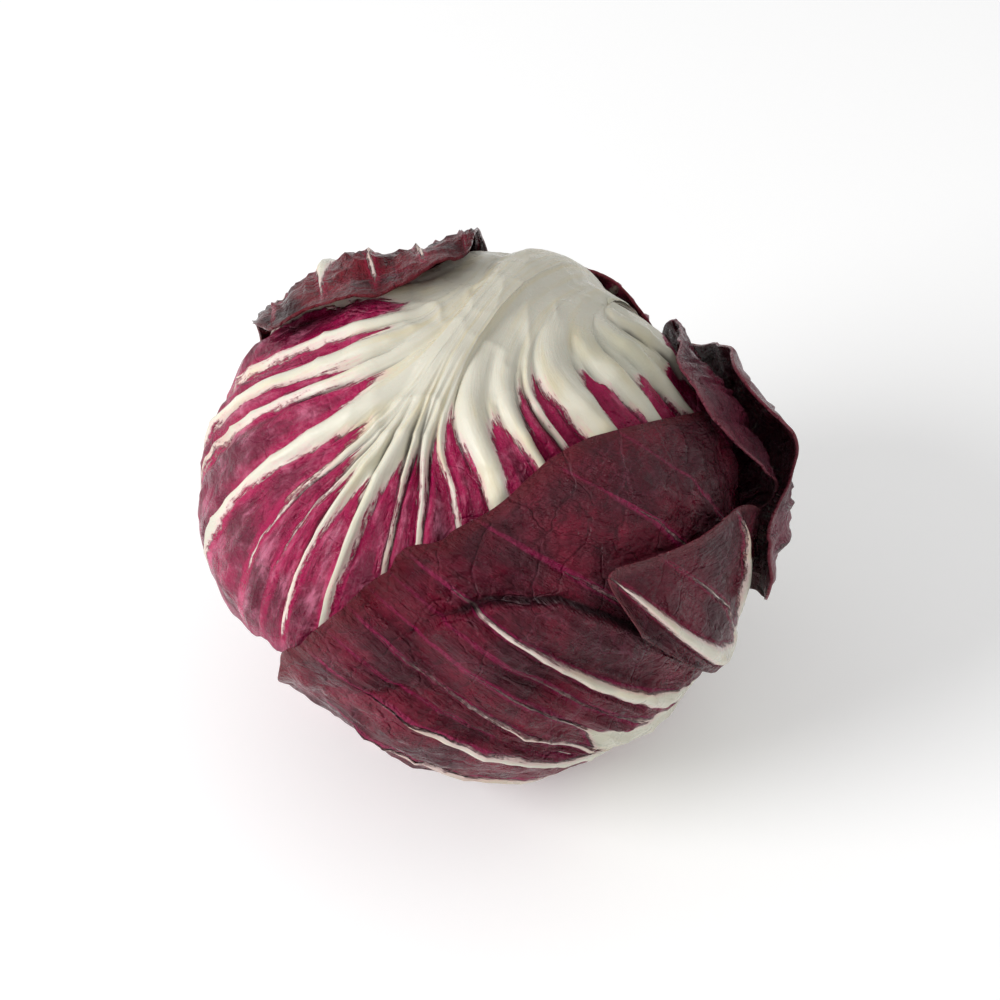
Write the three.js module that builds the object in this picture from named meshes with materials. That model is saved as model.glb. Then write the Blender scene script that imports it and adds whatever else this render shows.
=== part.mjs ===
// A loose head of radicchio as cut and laid down: thin wrapping leaves around a tight heart,
// all joined at a short cut stem that points back, to the right and slightly down.
// Millimetres, +Z up, resting on the small flat spot at z = 0.
import * as THREE from "three";
import { mergeVertices } from "three/addons/utils/BufferGeometryUtils.js";

// The head
const HEAD_RADIUS = 58;
const REST_DEPTH = 56.8; // centre of the head above the surface that it rests on
const STEM_AT = { azimuth: 64.8, elevation: -19.4 };
const STEM_DIMPLE = { depth: 9, spread: 24 };
const SIDE_DENT = { azimuth: 225, elevation: -38, depth: 8.5, spread: 28 };

// The cut stem
const STEM_RADIUS = 10.5;
const STEM_INNER_END = 46.5;
const STEM_CUT_END = 57;
const STEM_CHAMFER = 0.8;
const STEM_TAPER = { length: 3, radius: 8.6 }; // its inner end, inside the leaves
const STEM_DISH = { radius: 4.2, rim: 0.9, middle: 1.2 }; // the cut face sinks in as it dries
const STEM_SIDES = 28;

// The heart of tight inner leaves
const HEART_DEPTH = 5.4;
const HEART_LEAVES = 5;
const HEART_STEP = 0.9;
const HEART_AROUND = 28;
const HEART_ALONG = 16;

// Every leaf
const BASE_RADIUS = 14.6; // distance of a leaf's cut base from the stem's axis, along the head
const BASE_THICKNESS = 2.6;
const BLADE_THICKNESS = 1.0;
const MARGIN_THICKNESS = 0.65;
const LEAF_GAP = 0.75;
const CRUMPLE = { height: 0.5, wavelength: 30 };
const CRINKLE_FADE = { start: 1, end: 2.2 }; // places between which a blade starts to crinkle
const NECK_AT = 0.45; // share of the way from the fan origin back to the stem
const FORK = 2; // places of the fork and the tip, counted in a row's control points
const TIP = 4;
const ROLL_FROM = 3.5;
const REST_SKIN = 0.95; // thickness of the leaf that is pressed flat below the head
const REST_LAYER = 1.75; // rise of the flat spot from one leaf to the next inside it

// The height of the stacked leaves, kept at evenly spread directions
const STACK_POINTS = 9000;
const STACK_REACH = 10;
const STACK_BLUR = 2.4;

const RAD = Math.PI / 180;
const GOLDEN_TURN = Math.PI * (3 - Math.sqrt(5));

// A direction from its azimuth, counted from +X towards +Y, and its elevation
function facing({ azimuth, elevation }) {
  const flat = Math.cos(elevation * RAD);
  return new THREE.Vector3(
    flat * Math.cos(azimuth * RAD),
    flat * Math.sin(azimuth * RAD),
    Math.sin(elevation * RAD),
  );
}

function clamp(value, low, high) {
  return Math.min(Math.max(value, low), high);
}

// 0 below start, 1 above end, with a smooth rise between
function rise(value, start, end) {
  const share = clamp((value - start) / (end - start), 0, 1);
  return share * share * (3 - 2 * share);
}

// A smooth hill of height 1 round a direction
function hill(direction, centre, spread) {
  const turn = Math.acos(clamp(direction.dot(centre), -1, 1)) / RAD / spread;
  return Math.exp(-turn * turn);
}

const STEM = facing(STEM_AT);
const DENT = facing(SIDE_DENT);

// Radius of the outside of the head in a direction
function headRadius(direction) {
  return (
    HEAD_RADIUS -
    STEM_DIMPLE.depth * hill(direction, STEM, STEM_DIMPLE.spread) -
    SIDE_DENT.depth * hill(direction, DENT, SIDE_DENT.spread)
  );
}

// Directions spread evenly over a sphere
function evenDirections(count) {
  return Array.from({ length: count }, (_, i) => {
    const z = 1 - (2 * i + 1) / count;
    const flat = Math.sqrt(1 - z * z);
    return new THREE.Vector3(flat * Math.cos(i * GOLDEN_TURN), flat * Math.sin(i * GOLDEN_TURN), z);
  });
}

// Smooth unevenness between -1 and 1, as waves that run in several directions
const WAVE_DIRECTIONS = evenDirections(7);
function crumple(direction, wavelength) {
  const turns = (2 * Math.PI * HEAD_RADIUS) / wavelength;
  const sum = WAVE_DIRECTIONS.reduce(
    (total, wave, i) => total + Math.sin(turns * wave.dot(direction) + 1.7 * i),
    0,
  );
  return sum / Math.sqrt(WAVE_DIRECTIONS.length) / 2;
}

// Longest radius at which a point stays above a height, where the point is below the head's centre
function radiusAbove(direction, height) {
  return direction.z < -0.05 ? (REST_DEPTH - height) / -direction.z : Infinity;
}

// How high the leaves are stacked so far, in each of many directions
const stackDirections = evenDirections(STACK_POINTS);
const stackRadius = new Float64Array(STACK_POINTS);

function raiseStack(direction, radius) {
  const near = Math.cos(STACK_REACH / HEAD_RADIUS);
  stackDirections.forEach((other, i) => {
    if (other.dot(direction) > near) stackRadius[i] = Math.max(stackRadius[i], radius);
  });
}

function stackAt(direction) {
  const near = Math.cos((3 * STACK_BLUR) / HEAD_RADIUS);
  let weight = 0;
  let sum = 0;
  stackDirections.forEach((other, i) => {
    const dot = other.dot(direction);
    if (dot < near) return;
    const far = (Math.acos(Math.min(dot, 1)) * HEAD_RADIUS) / STACK_BLUR;
    const share = Math.exp(-0.5 * far * far);
    weight += share;
    sum += share * stackRadius[i];
  });
  return sum / weight;
}

// A smooth curve through arrays of numbers, at a place counted in whole points
function splineAt(points, place) {
  const last = points.length - 1;
  const k = Math.min(Math.floor(place), last - 1);
  const f = place - k;
  const [a, b, c, d] = [k - 1, k, k + 1, k + 2].map((i) => points[clamp(i, 0, last)]);
  return b.map((_, i) => {
    const [p, q, r, s] = [a[i], b[i], c[i], d[i]];
    const bend = 2 * p - 5 * q + 4 * r - s;
    const twist = 3 * q - p - 3 * r + s;
    return q + 0.5 * f * (r - p + f * (bend + f * twist));
  });
}

// The flat map of a leaf: distances and turns from its fan origin, where the ribs spread out.
// Its first axis runs away from the stem.
function leafMap(fan) {
  const origin = facing(fan);
  const away = STEM.clone().addScaledVector(origin, -STEM.dot(origin)).negate().normalize();
  const across = origin.clone().cross(away);
  const stemTurn = Math.acos(origin.dot(STEM));
  const place = ([x, y]) => {
    const turn = Math.hypot(x, y) / HEAD_RADIUS;
    const share = turn > 1e-6 ? Math.sin(turn) / turn / HEAD_RADIUS : 1 / HEAD_RADIUS;
    return new THREE.Vector3()
      .addScaledVector(origin, Math.cos(turn))
      .addScaledVector(away, x * share)
      .addScaledVector(across, y * share);
  };
  return { place, stemDistance: stemTurn * HEAD_RADIUS, stretch: stemTurn / Math.sin(stemTurn) };
}

// A row of a leaf, one for each rib, from the leaf's left side to its right side.
// fork and tip are [distance, turn in degrees] from the fan origin, and bend is the same for a
// point between them. The rib's ridge has a half width and a height, and runs to a share of the
// row. lift and roll are what the margin does at the row's end.
function row(fork, tip, { bend, half = 0, high = 0, reach = 1, lift = 0, roll = 0 } = {}) {
  const middle = bend ?? [(fork[0] + tip[0]) / 2, (fork[1] + tip[1]) / 2];
  return { fork, middle, tip, half, high, reach, lift, roll };
}

function polar([distance, turn]) {
  return [distance * Math.cos(turn * RAD), distance * Math.sin(turn * RAD)];
}

// The five points that each row of a leaf passes through on the flat map
function controlPoints(leaf, map) {
  return leaf.rows.map(({ fork, middle, tip }, k) => {
    const side = (2 * k) / (leaf.rows.length - 1) - 1;
    const baseTurn = side * leaf.baseSpread * RAD;
    return [
      [
        BASE_RADIUS * Math.cos(baseTurn) - map.stemDistance,
        BASE_RADIUS * Math.sin(baseTurn) * map.stretch,
      ],
      [-NECK_AT * map.stemDistance, side * leaf.neck],
      polar(fork),
      polar(middle),
      polar(tip),
    ];
  });
}

// Places along the rows, counted in control points: evenly spaced on the middle row, and closer
// together where the margin rolls
function evenPlaces(controls, { steps, rollSteps = 0 }) {
  const middle = controls[Math.floor(controls.length / 2)];
  const last = middle.length - 1;
  const samples = Array.from({ length: 201 }, (_, i) => (i / 200) * last);
  const lengths = [0];
  samples.slice(1).forEach((place, i) => {
    const [x0, y0] = splineAt(middle, samples[i]);
    const [x1, y1] = splineAt(middle, place);
    lengths.push(lengths[i] + Math.hypot(x1 - x0, y1 - y0));
  });
  const placeAt = (share) => {
    const wanted = share * lengths[200];
    const k = clamp(lengths.findIndex((length) => length >= wanted - 1e-9), 1, 200);
    const part = (wanted - lengths[k - 1]) / (lengths[k] - lengths[k - 1]);
    return samples[k - 1] + part * (samples[k] - samples[k - 1]);
  };
  const even = Array.from({ length: steps + 1 }, (_, i) => placeAt(i / steps));
  if (rollSteps === 0) return even;
  const rolled = Array.from({ length: rollSteps + 1 }, (_, i) => {
    return ROLL_FROM + ((TIP - ROLL_FROM) * i) / rollSteps;
  });
  return even.filter((place) => place < ROLL_FROM - 0.1).concat(rolled);
}

// Height of the ribs at a point of the flat map, place counted in control points
function ribHeight(leaf, paths, here, place, across) {
  let height = 0;
  const first = Math.floor(across);
  for (const k of [first - 1, first, first + 1, first + 2]) {
    const rib = leaf.rows[k];
    if (!rib || rib.high === 0) continue;
    const gap = Math.hypot(here[0] - paths[k][0], here[1] - paths[k][1]);
    const half = rib.half * Math.max(0.3, 1.4 - leaf.taper * (place - FORK));
    const profile = Math.max(0, 1 - (gap / half) ** 2);
    const end = FORK + 2 * rib.reach;
    const fade = rise(place, FORK - 0.2, FORK + 0.6) * (1 - rise(place, end - 0.7, end + 0.05));
    height = Math.max(height, rib.high * profile * fade);
  }
  return height;
}

// Height of a leaf's pleat: a sharp step along its crest line, which falls off slowly behind it
function pleatHeight({ crest, high, step, fall }, [x, y]) {
  const line = crest.map(polar);
  let nearest = { gap: Infinity };
  line.slice(1).forEach(([bx, by], i) => {
    const [ax, ay] = line[i];
    const [wx, wy] = [bx - ax, by - ay];
    const share = clamp(((x - ax) * wx + (y - ay) * wy) / (wx * wx + wy * wy), 0, 1);
    const gap = Math.hypot(x - ax - share * wx, y - ay - share * wy);
    if (gap >= nearest.gap) return;
    const side = Math.sign(wy * (x - ax) - wx * (y - ay));
    nearest = { gap, behind: side * gap, along: (i + share) / (line.length - 1) };
  });
  const { behind, along } = nearest;
  const slope = Math.exp(-((Math.max(0, behind) / fall) ** 2));
  return high * rise(behind, -step, step) * slope * rise(along, 0, 0.25);
}

// The broad midrib, from the leaf's base to where it has split up into ribs
function midribHeight(leaf, paths, here, place) {
  const { at, half, high } = leaf.midrib;
  const [x, y] = splineAt(paths, at);
  const gap = Math.hypot(here[0] - x, here[1] - y);
  const profile = Math.max(0, 1 - (gap / (half * (1.25 - 0.25 * place))) ** 2);
  return high * profile * (1 - rise(place, FORK - 0.6, FORK + 0.9));
}

// One value of the rows, at a place across them
function rowValue(leaf, name, across) {
  return splineAt(leaf.rows.map((one) => [one[name]]), across)[0];
}

// Points of one leaf's outer and inner faces, laid over what is already stacked
function leafPoints(leaf) {
  const map = leafMap(leaf.fan);
  const controls = controlPoints(leaf, map);
  const columns = (leaf.rows.length - 1) * leaf.perRow;
  const places = evenPlaces(controls, leaf);
  const steps = places.length - 1;
  const outer = [];
  const inner = [];
  const pathsAt = (place) => controls.map((points) => splineAt(points, place));
  for (const place of places) {
    const paths = pathsAt(place);
    for (let j = 0; j <= columns; j += 1) {
      const across = j / leaf.perRow;
      const share = j / columns;
      const side = 2 * share - 1;
      const margin = Math.max(rise(place, TIP - 0.8, TIP), rise(Math.abs(side), 0.8, 1));
      // Where the margin rolls back on itself, the way along turns into a way round
      const rolled = Math.max(0, place - ROLL_FROM) / (TIP - ROLL_FROM);
      const turn = Math.max(0, rowValue(leaf, "roll", across)) * rolled;
      const shortened = turn > 0 ? Math.sin(turn) / turn : 1;
      const reached = Math.min(place, ROLL_FROM) + (TIP - ROLL_FROM) * rolled * shortened;
      const here = splineAt(reached === place ? paths : pathsAt(reached), across);
      const direction = map.place(here);
      const ruffle = 0.5 + 0.5 * Math.sin(2 * Math.PI * leaf.ruffles * share + 2.2 * place);
      const crinkled = 0.5 + 0.5 * crumple(direction, leaf.crinkle.wavelength);
      const curl = turn > 0 ? (leaf.rollLength * rolled * (1 - Math.cos(turn))) / turn : 0;
      const lift =
        rowValue(leaf, "lift", across) * rise(place, leaf.liftFrom, TIP) ** 1.3 +
        curl +
        leaf.ruffle * margin * ruffle +
        leaf.crinkle.high * crinkled * rise(place, CRINKLE_FADE.start, CRINKLE_FADE.end);
      const puff = leaf.pleat ? pleatHeight(leaf.pleat, here) * rise(place, 1.2, 2.2) : 0;
      const blade = BLADE_THICKNESS + (MARGIN_THICKNESS - BLADE_THICKNESS) * margin;
      const base = (1 - rise(place, 0, 1.2)) * (1 - side ** 2);
      const thickness = blade + (BASE_THICKNESS - blade) * base;
      const wobble = CRUMPLE.height * (1 + crumple(direction, CRUMPLE.wavelength));
      const floor = headRadius(direction) - leaf.depth + wobble;
      const under = Math.max(stackAt(direction) + LEAF_GAP, floor) + lift + puff;
      const ribs = Math.max(
        ribHeight(leaf, paths, here, place, across),
        midribHeight(leaf, paths, here, place),
      );
      const lowest = leaf.layer * REST_LAYER;
      const innerRadius = Math.min(under, radiusAbove(direction, lowest + REST_SKIN));
      const outerRadius = Math.min(under + thickness + ribs, radiusAbove(direction, lowest));
      outer.push({ direction, point: direction.clone().multiplyScalar(outerRadius), lift, thickness });
      inner.push({ direction, point: direction.clone().multiplyScalar(innerRadius) });
    }
  }
  // A lifted margin is thick along its own normal instead of along the head's radius
  const at = (i, j) => outer[i * (columns + 1) + j].point;
  outer.forEach(({ direction, point, lift, thickness }, n) => {
    const turned = rise(lift, 0.5, 3);
    if (turned === 0) return;
    const i = Math.floor(n / (columns + 1));
    const j = n % (columns + 1);
    const alongWay = at(Math.min(i + 1, steps), j).clone().sub(at(Math.max(i - 1, 0), j));
    const acrossWay = at(i, Math.min(j + 1, columns)).clone().sub(at(i, Math.max(j - 1, 0)));
    const normal = alongWay.cross(acrossWay).normalize();
    const way = direction.clone().lerp(normal, turned).normalize();
    const radial = inner[n].point.clone();
    inner[n].point = point.clone().addScaledVector(way, -thickness).lerp(radial, 1 - turned);
  });
  return { outer, inner, columns, steps };
}

// A closed thin solid from the two faces of a leaf, split into triangles alike
function leafGeometry(leaf) {
  const { outer, inner, columns, steps } = leafPoints(leaf);
  const across = columns + 1;
  const count = outer.length;
  const corner = (i, j, face) => i * across + j + face * count;
  const indices = [];
  for (let i = 0; i < steps; i += 1) {
    for (let j = 0; j < columns; j += 1) {
      const [a, b] = [corner(i, j, 0), corner(i + 1, j, 0)];
      const [c, d] = [corner(i + 1, j + 1, 0), corner(i, j + 1, 0)];
      indices.push(a, b, c, a, c, d);
      indices.push(a + count, c + count, b + count, a + count, d + count, c + count);
    }
  }
  const rim = (from, to) => indices.push(from, from + count, to + count, from, to + count, to);
  for (let i = 0; i < steps; i += 1) {
    rim(corner(i, 0, 0), corner(i + 1, 0, 0));
    rim(corner(i + 1, columns, 0), corner(i, columns, 0));
  }
  for (let j = 0; j < columns; j += 1) {
    rim(corner(steps, j, 0), corner(steps, j + 1, 0));
    rim(corner(0, j + 1, 0), corner(0, j, 0));
  }
  outer.forEach(({ direction, point }, n) => {
    const next = outer[Math.min(n + across + 1, count - 1)];
    raiseStack(direction, Math.max(point.length(), next.point.length()));
  });
  const positions = [...outer, ...inner].flatMap(({ point }) => point.toArray());
  return new THREE.BufferGeometry()
    .setAttribute("position", new THREE.Float32BufferAttribute(positions, 3))
    .setIndex(indices);
}

// The leaves, from the innermost to the outermost. depth is how far the inner face may lie below
// the head's outside, and layer counts the leaves between it and the surface below the head.
const LEAVES = [
  {
    name: "leaf_white_fan",
    colour: 0xe1dccb,
    fan: { azimuth: 53, elevation: 58.4 },
    baseSpread: 62,
    neck: 19,
    depth: 2.4,
    layer: 3,
    steps: 19,
    perRow: 2,
    ruffle: 0.3,
    ruffles: 9,
    taper: 0.35,
    crinkle: { high: 0.7, wavelength: 22 },
    liftFrom: 3.4,
    midrib: { at: 9, half: 11, high: 2 },
    rows: [
      row([27, -48], [60, -98]),
      row([27, -31], [74, -86], { half: 2.4, high: 1.2 }),
      row([33, -21], [98, -79], { half: 1.4, high: 0.8, reach: 0.9 }),
      row([40, -17], [106, -74], { half: 2.2, high: 1.6 }),
      row([42, -12], [112, -70], { half: 1.4, high: 1.0 }),
      row([48, -8], [126, -54], { half: 2.6, high: 1.8 }),
      row([50, -5], [126, -35], { half: 0.8, high: 0.6, reach: 0.95 }),
      row([52, -4], [124, -25], { half: 0.6, high: 0.4, reach: 0.8 }),
      row([52, -3.2], [124, -17], { half: 1.7, high: 1.4 }),
      row([50, -1.6], [118, -5], { half: 2.2, high: 2.0 }),
      row([50, -0.3], [112, 7], { half: 0.9, high: 0.8 }),
      row([50, 1.2], [106, 15], { half: 1.1, high: 1.0 }),
      row([50, 3], [100, 26], { half: 0.8, high: 0.7, reach: 0.8 }),
      row([42, 4.5], [96, 38], { half: 3.0, high: 1.8 }),
      row([39, 12.5], [92, 54], { half: 1.8, high: 1.2 }),
      row([37, 19], [86, 62], { half: 0.8, high: 0.6, reach: 0.8 }),
      row([30, 25], [80, 71], { half: 4.0, high: 1.8 }),
      row([26, 42], [72, 88], { half: 2.8, high: 1.4 }),
      row([20, 58], [60, 95], { half: 2.6, high: 1.2 }),
      row([16, 80], [46, 106], { half: 2.4, high: 1.0 }),
      row([13, 104], [36, 122]),
    ],
  },
  {
    name: "leaf_back_left",
    colour: 0x6a2138,
    fan: { azimuth: 101.6, elevation: -4 },
    baseSpread: 55,
    neck: 15,
    depth: 1.7,
    layer: 2,
    steps: 21,
    perRow: 2,
    ruffle: 0.5,
    ruffles: 6,
    taper: 0.45,
    crinkle: { high: 1.8, wavelength: 14 },
    liftFrom: 3.2,
    rollLength: 4.5,
    rollSteps: 5,
    midrib: { at: 5, half: 8, high: 1.8 },
    rows: [
      row([12, -120], [28, -128]),
      row([16, -85], [46, -100], { half: 1.5, high: 1.0 }),
      row([20, -55], [52, -68], { half: 1.8, high: 1.2 }),
      row([24, -30], [54, -42], { half: 2.0, high: 1.3 }),
      row([26, -10], [50, -20], { half: 2.0, high: 1.3 }),
      row([26, 3], [47, -1], { half: 2.4, high: 1.8 }),
      row([25, 13], [53, 11], { half: 1.8, high: 1.2 }),
      row([24, 25], [80, 24], { half: 1.8, high: 1.2, lift: 0.4, roll: 0.4 }),
      row([22, 38], [88, 37], { half: 2.2, high: 1.2, lift: 0.6, roll: 0.6 }),
      row([19, 50], [94, 48], { half: 1.6, high: 1.0, lift: 0.8, roll: 0.7 }),
      row([16, 62], [90, 58], { half: 1.5, high: 1.0, lift: 0.8, roll: 0.7 }),
      row([14, 76], [83, 67], { half: 1.2, high: 0.8, lift: 0.6, roll: 0.5 }),
      row([12, 94], [52, 78], { half: 1.2, high: 0.8, lift: 1 }),
      row([10, 115], [28, 104]),
    ],
  },
  {
    name: "leaf_front_wrap",
    colour: 0x5d1730,
    fan: { azimuth: 4.3, elevation: -41.1 },
    baseSpread: 60,
    neck: 17,
    depth: 1.4,
    layer: 1,
    steps: 18,
    perRow: 2,
    ruffle: 0.5,
    ruffles: 8,
    taper: 0.6,
    crinkle: { high: 0.8, wavelength: 22 },
    liftFrom: 3.4,
    midrib: { at: 8, half: 10, high: 2 },
    pleat: {
      crest: [[116, -6], [112, -16], [107, -25], [96, -32], [87, -33.4], [73, -34.4], [36, -34]],
      high: 3.2,
      step: 1.2,
      fall: 22,
    },
    rows: [
      row([22, -100], [56, -100]),
      row([30, -84], [78, -84], { half: 0.8, high: 0.4, reach: 0.7 }),
      row([36, -66], [100, -66], { half: 0.8, high: 0.5, reach: 0.6 }),
      row([36, -54], [111, -54], { half: 0.9, high: 0.6, reach: 0.8 }),
      row([35, -43], [118, -37], { bend: [88, -37.5], half: 0.8, high: 0.5, reach: 0.95 }),
      row([38, -33], [122, -29], { bend: [82, -29] }),
      row([44, -25], [126, -23], { bend: [84, -21], half: 2.4, high: 1.8, reach: 0.9 }),
      row([41, -15], [126, -17], { bend: [82, -15.5], half: 0.6, high: 0.4, reach: 0.8 }),
      row([42, -5], [127, -11], { bend: [80, -9.5], half: 0.8, high: 0.6, reach: 0.8 }),
      row([44, 0], [127, -4], { bend: [84, -2.5], half: 1.1, high: 0.9 }),
      row([45, 4], [127, 5], { bend: [85, 2.5], half: 0.5, high: 0.3, reach: 0.7 }),
      row([46, 8], [126, 14], { bend: [86, 8], half: 2.2, high: 1.5 }),
      row([42, 24], [124, 28], { half: 1.5, high: 1.0 }),
      row([34, 50], [110, 50], { half: 1.5, high: 1.0 }),
      row([26, 80], [88, 76], { half: 1.5, high: 0.9 }),
      row([20, 110], [60, 102]),
    ],
  },
  {
    name: "leaf_front_fold",
    colour: 0x5d1730,
    fan: { azimuth: 4.3, elevation: -41.1 },
    baseSpread: 26,
    neck: 9,
    depth: 0.6,
    layer: 1,
    steps: 13,
    perRow: 2,
    ruffle: 0.5,
    ruffles: 4,
    taper: 0.55,
    crinkle: { high: 0.8, wavelength: 18 },
    liftFrom: 3.0,
    midrib: { at: 4, half: 6, high: 1.5 },
    rows: [
      row([22, -92], [42, -88], { half: 1.4, high: 0.8, lift: 0.8 }),
      row([30, -76], [53, -77], { half: 0.7, high: 0.5, reach: 0.8, lift: 0.8 }),
      row([34, -59], [68, -66], { half: 1.9, high: 1.4, lift: 1.2 }),
      row([34, -50], [84, -48], { half: 0.7, high: 0.4, lift: 0.8 }),
      row([34, -42], [92, -40], { bend: [66, -38], half: 2.4, high: 1.8, lift: 0.6 }),
      row([30, -36], [80, -34], { bend: [58, -33.5], lift: 0.8 }),
    ],
  },
  {
    name: "leaf_back_cover",
    colour: 0x6a2138,
    fan: { azimuth: 64, elevation: 2 },
    baseSpread: 50,
    neck: 12,
    depth: 1.0,
    layer: 1,
    steps: 10,
    perRow: 2,
    ruffle: 0.8,
    ruffles: 5,
    taper: 0.45,
    crinkle: { high: 0.8, wavelength: 16 },
    liftFrom: 3.0,
    midrib: { at: 5, half: 9, high: 2.4 },
    rows: [
      row([9, -115], [22, -118]),
      row([11, -86], [27, -88], { half: 1.5, high: 1.0 }),
      row([13, -58], [28, -60], { half: 1.8, high: 1.2 }),
      row([14, -34], [28, -36], { half: 1.8, high: 1.2 }),
      row([15, -14], [29, -16], { half: 2.0, high: 1.4 }),
      row([16, 2], [31, 2], { half: 2.6, high: 2.0 }),
      row([16, 18], [33, 20], { half: 2.0, high: 1.4 }),
      row([14, 38], [31, 40], { half: 1.8, high: 1.2 }),
      row([12, 62], [26, 62], { half: 1.5, high: 1.0 }),
      row([10, 90], [22, 90], { half: 1.2, high: 0.8 }),
      row([8, 118], [20, 118]),
    ],
  },
  {
    name: "leaf_right_lobe",
    colour: 0x4c1730,
    fan: { azimuth: 37.7, elevation: -18.7 },
    baseSpread: 40,
    neck: 9,
    depth: 0.6,
    layer: 1,
    steps: 15,
    perRow: 2,
    ruffle: 0.6,
    ruffles: 3,
    taper: 0.5,
    crinkle: { high: 1.5, wavelength: 14 },
    liftFrom: 2.6,
    midrib: { at: 4, half: 6, high: 1.6 },
    rows: [
      row([10, -112], [24, -112]),
      row([14, -92], [38, -92], { half: 1.2, high: 0.8 }),
      row([18, -78], [45, -80], { half: 1.2, high: 0.8 }),
      row([20, -66], [59, -67], { half: 1.4, high: 1.0, lift: 0.3 }),
      row([20, -57], [71, -58], { half: 1.2, high: 0.8, lift: 0.5 }),
      row([20, -48], [75, -51], { half: 1.2, high: 0.8, lift: 0.6 }),
      row([20, -37], [72, -42], { half: 1.0, high: 0.8, lift: 0.6 }),
      row([16, -22], [58, -31], { half: 1.0, high: 0.6 }),
      row([11, 2], [32, -14]),
    ],
  },
  {
    name: "leaf_right_hood",
    colour: 0x4c1730,
    fan: { azimuth: 37.7, elevation: -18.7 },
    baseSpread: 56,
    neck: 13,
    depth: 0.3,
    layer: 1,
    steps: 14,
    perRow: 2,
    ruffle: 0.8,
    ruffles: 4,
    taper: 0.5,
    crinkle: { high: 1.0, wavelength: 14 },
    liftFrom: 2.0,
    midrib: { at: 7, half: 7, high: 2 },
    rows: [
      row([8, -122], [16, -125]),
      row([12, -98], [28, -98], { half: 1.2, high: 0.8 }),
      row([15, -80], [34, -80], { half: 1.2, high: 0.8, lift: 0.4 }),
      row([17, -66], [46, -66], { half: 1.4, high: 1.0 }),
      row([18, -55], [58, -54], { half: 1.2, high: 0.8, lift: 0.4 }),
      row([18, -46], [59, -44], { half: 1.4, high: 1.0, lift: 1 }),
      row([18, -38], [51, -36], { half: 1.2, high: 0.8, lift: 3.2 }),
      row([18, -29], [50, -28], { half: 1.4, high: 1.0, lift: 1 }),
      row([18, -20], [60, -21], { half: 1.2, high: 0.8 }),
      row([18, -10], [62, -12], { half: 1.6, high: 1.2 }),
      row([17, 1], [58, -2], { half: 1.2, high: 0.8 }),
      row([15, 14], [40, 9], { half: 1.2, high: 0.8 }),
      row([13, 32], [29, 27], { half: 1.2, high: 0.8 }),
      row([11, 56], [24, 50], { half: 1.0, high: 0.6 }),
      row([9, 90], [20, 84]),
    ],
  },
  {
    name: "leaf_under",
    colour: 0x7a3348,
    fan: { azimuth: 77.5, elevation: -62.6 },
    baseSpread: 60,
    neck: 15,
    depth: 0.6,
    layer: 0,
    steps: 17,
    perRow: 2,
    ruffle: 0.4,
    ruffles: 7,
    taper: 0.45,
    crinkle: { high: 0.7, wavelength: 20 },
    liftFrom: 3.0,
    midrib: { at: 6, half: 9, high: 2 },
    rows: [
      row([14, -120], [34, -118]),
      row([20, -92], [46, -92], { half: 1.5, high: 1.0 }),
      row([25, -66], [50, -66], { half: 1.5, high: 1.0 }),
      row([28, -44], [52, -44], { half: 1.5, high: 1.0 }),
      row([30, -26], [51, -27], { half: 1.8, high: 1.2 }),
      row([32, -10], [51, -10], { half: 2.0, high: 1.4 }),
      row([32, 5], [50, 5], { half: 2.6, high: 2.0 }),
      row([31, 18], [49, 20], { half: 2.0, high: 1.4 }),
      row([30, 32], [54, 34], { half: 1.8, high: 1.2 }),
      row([27, 48], [53, 50], { half: 1.5, high: 1.0 }),
      row([24, 68], [54, 68], { half: 1.5, high: 1.0 }),
      row([19, 92], [44, 92], { half: 1.5, high: 1.0 }),
      row([14, 118], [32, 118]),
    ],
  },
];

// The heart: inner leaves packed tight, each margin a low step over the next leaf
function heartRadius(direction) {
  const side = STEM.clone().cross(new THREE.Vector3(0, 0, 1)).normalize();
  const up = side.clone().cross(STEM);
  const away = Math.acos(clamp(direction.dot(STEM), -1, 1));
  const turn = Math.atan2(direction.dot(up), direction.dot(side)) / (2 * Math.PI) + 0.5;
  const spiral = (turn * HEART_LEAVES + 0.35 * away) % 1;
  const step = HEART_STEP * Math.min(spiral * 1.2, (1 - spiral) * 8) * Math.sin(away);
  const radius = headRadius(direction) - HEART_DEPTH + step;
  return Math.min(radius, radiusAbove(direction, 5 * REST_LAYER));
}

function heartGeometry() {
  const sphere = new THREE.SphereGeometry(1, HEART_AROUND, HEART_ALONG);
  sphere.deleteAttribute("normal");
  sphere.deleteAttribute("uv");
  const geometry = mergeVertices(sphere, 1e-4);
  const places = geometry.getAttribute("position");
  for (let i = 0; i < places.count; i += 1) {
    const direction = new THREE.Vector3().fromBufferAttribute(places, i).normalize();
    const point = direction.clone().multiplyScalar(heartRadius(direction));
    places.setXYZ(i, point.x, point.y, point.z);
  }
  stackDirections.forEach((direction, i) => {
    stackRadius[i] = heartRadius(direction);
  });
  return geometry;
}

function stemMesh() {
  const profile = [
    [0, STEM_INNER_END],
    [STEM_TAPER.radius, STEM_INNER_END],
    [STEM_RADIUS, STEM_INNER_END + STEM_TAPER.length],
    [STEM_RADIUS, STEM_CUT_END - STEM_CHAMFER],
    [STEM_RADIUS - STEM_CHAMFER, STEM_CUT_END],
    [STEM_DISH.radius, STEM_CUT_END - STEM_DISH.rim],
    [0, STEM_CUT_END - STEM_DISH.middle],
  ].map(([radius, height]) => new THREE.Vector2(radius, height));
  const mesh = piece("stem", new THREE.LatheGeometry(profile, STEM_SIDES), 0xe6dcc0);
  mesh.quaternion.setFromUnitVectors(new THREE.Vector3(0, 1, 0), STEM);
  return mesh;
}

function piece(name, geometry, colour) {
  const material = new THREE.MeshStandardMaterial({ color: colour, roughness: 0.5, metalness: 0 });
  const mesh = new THREE.Mesh(geometry, material);
  mesh.name = name;
  return mesh;
}

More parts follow.
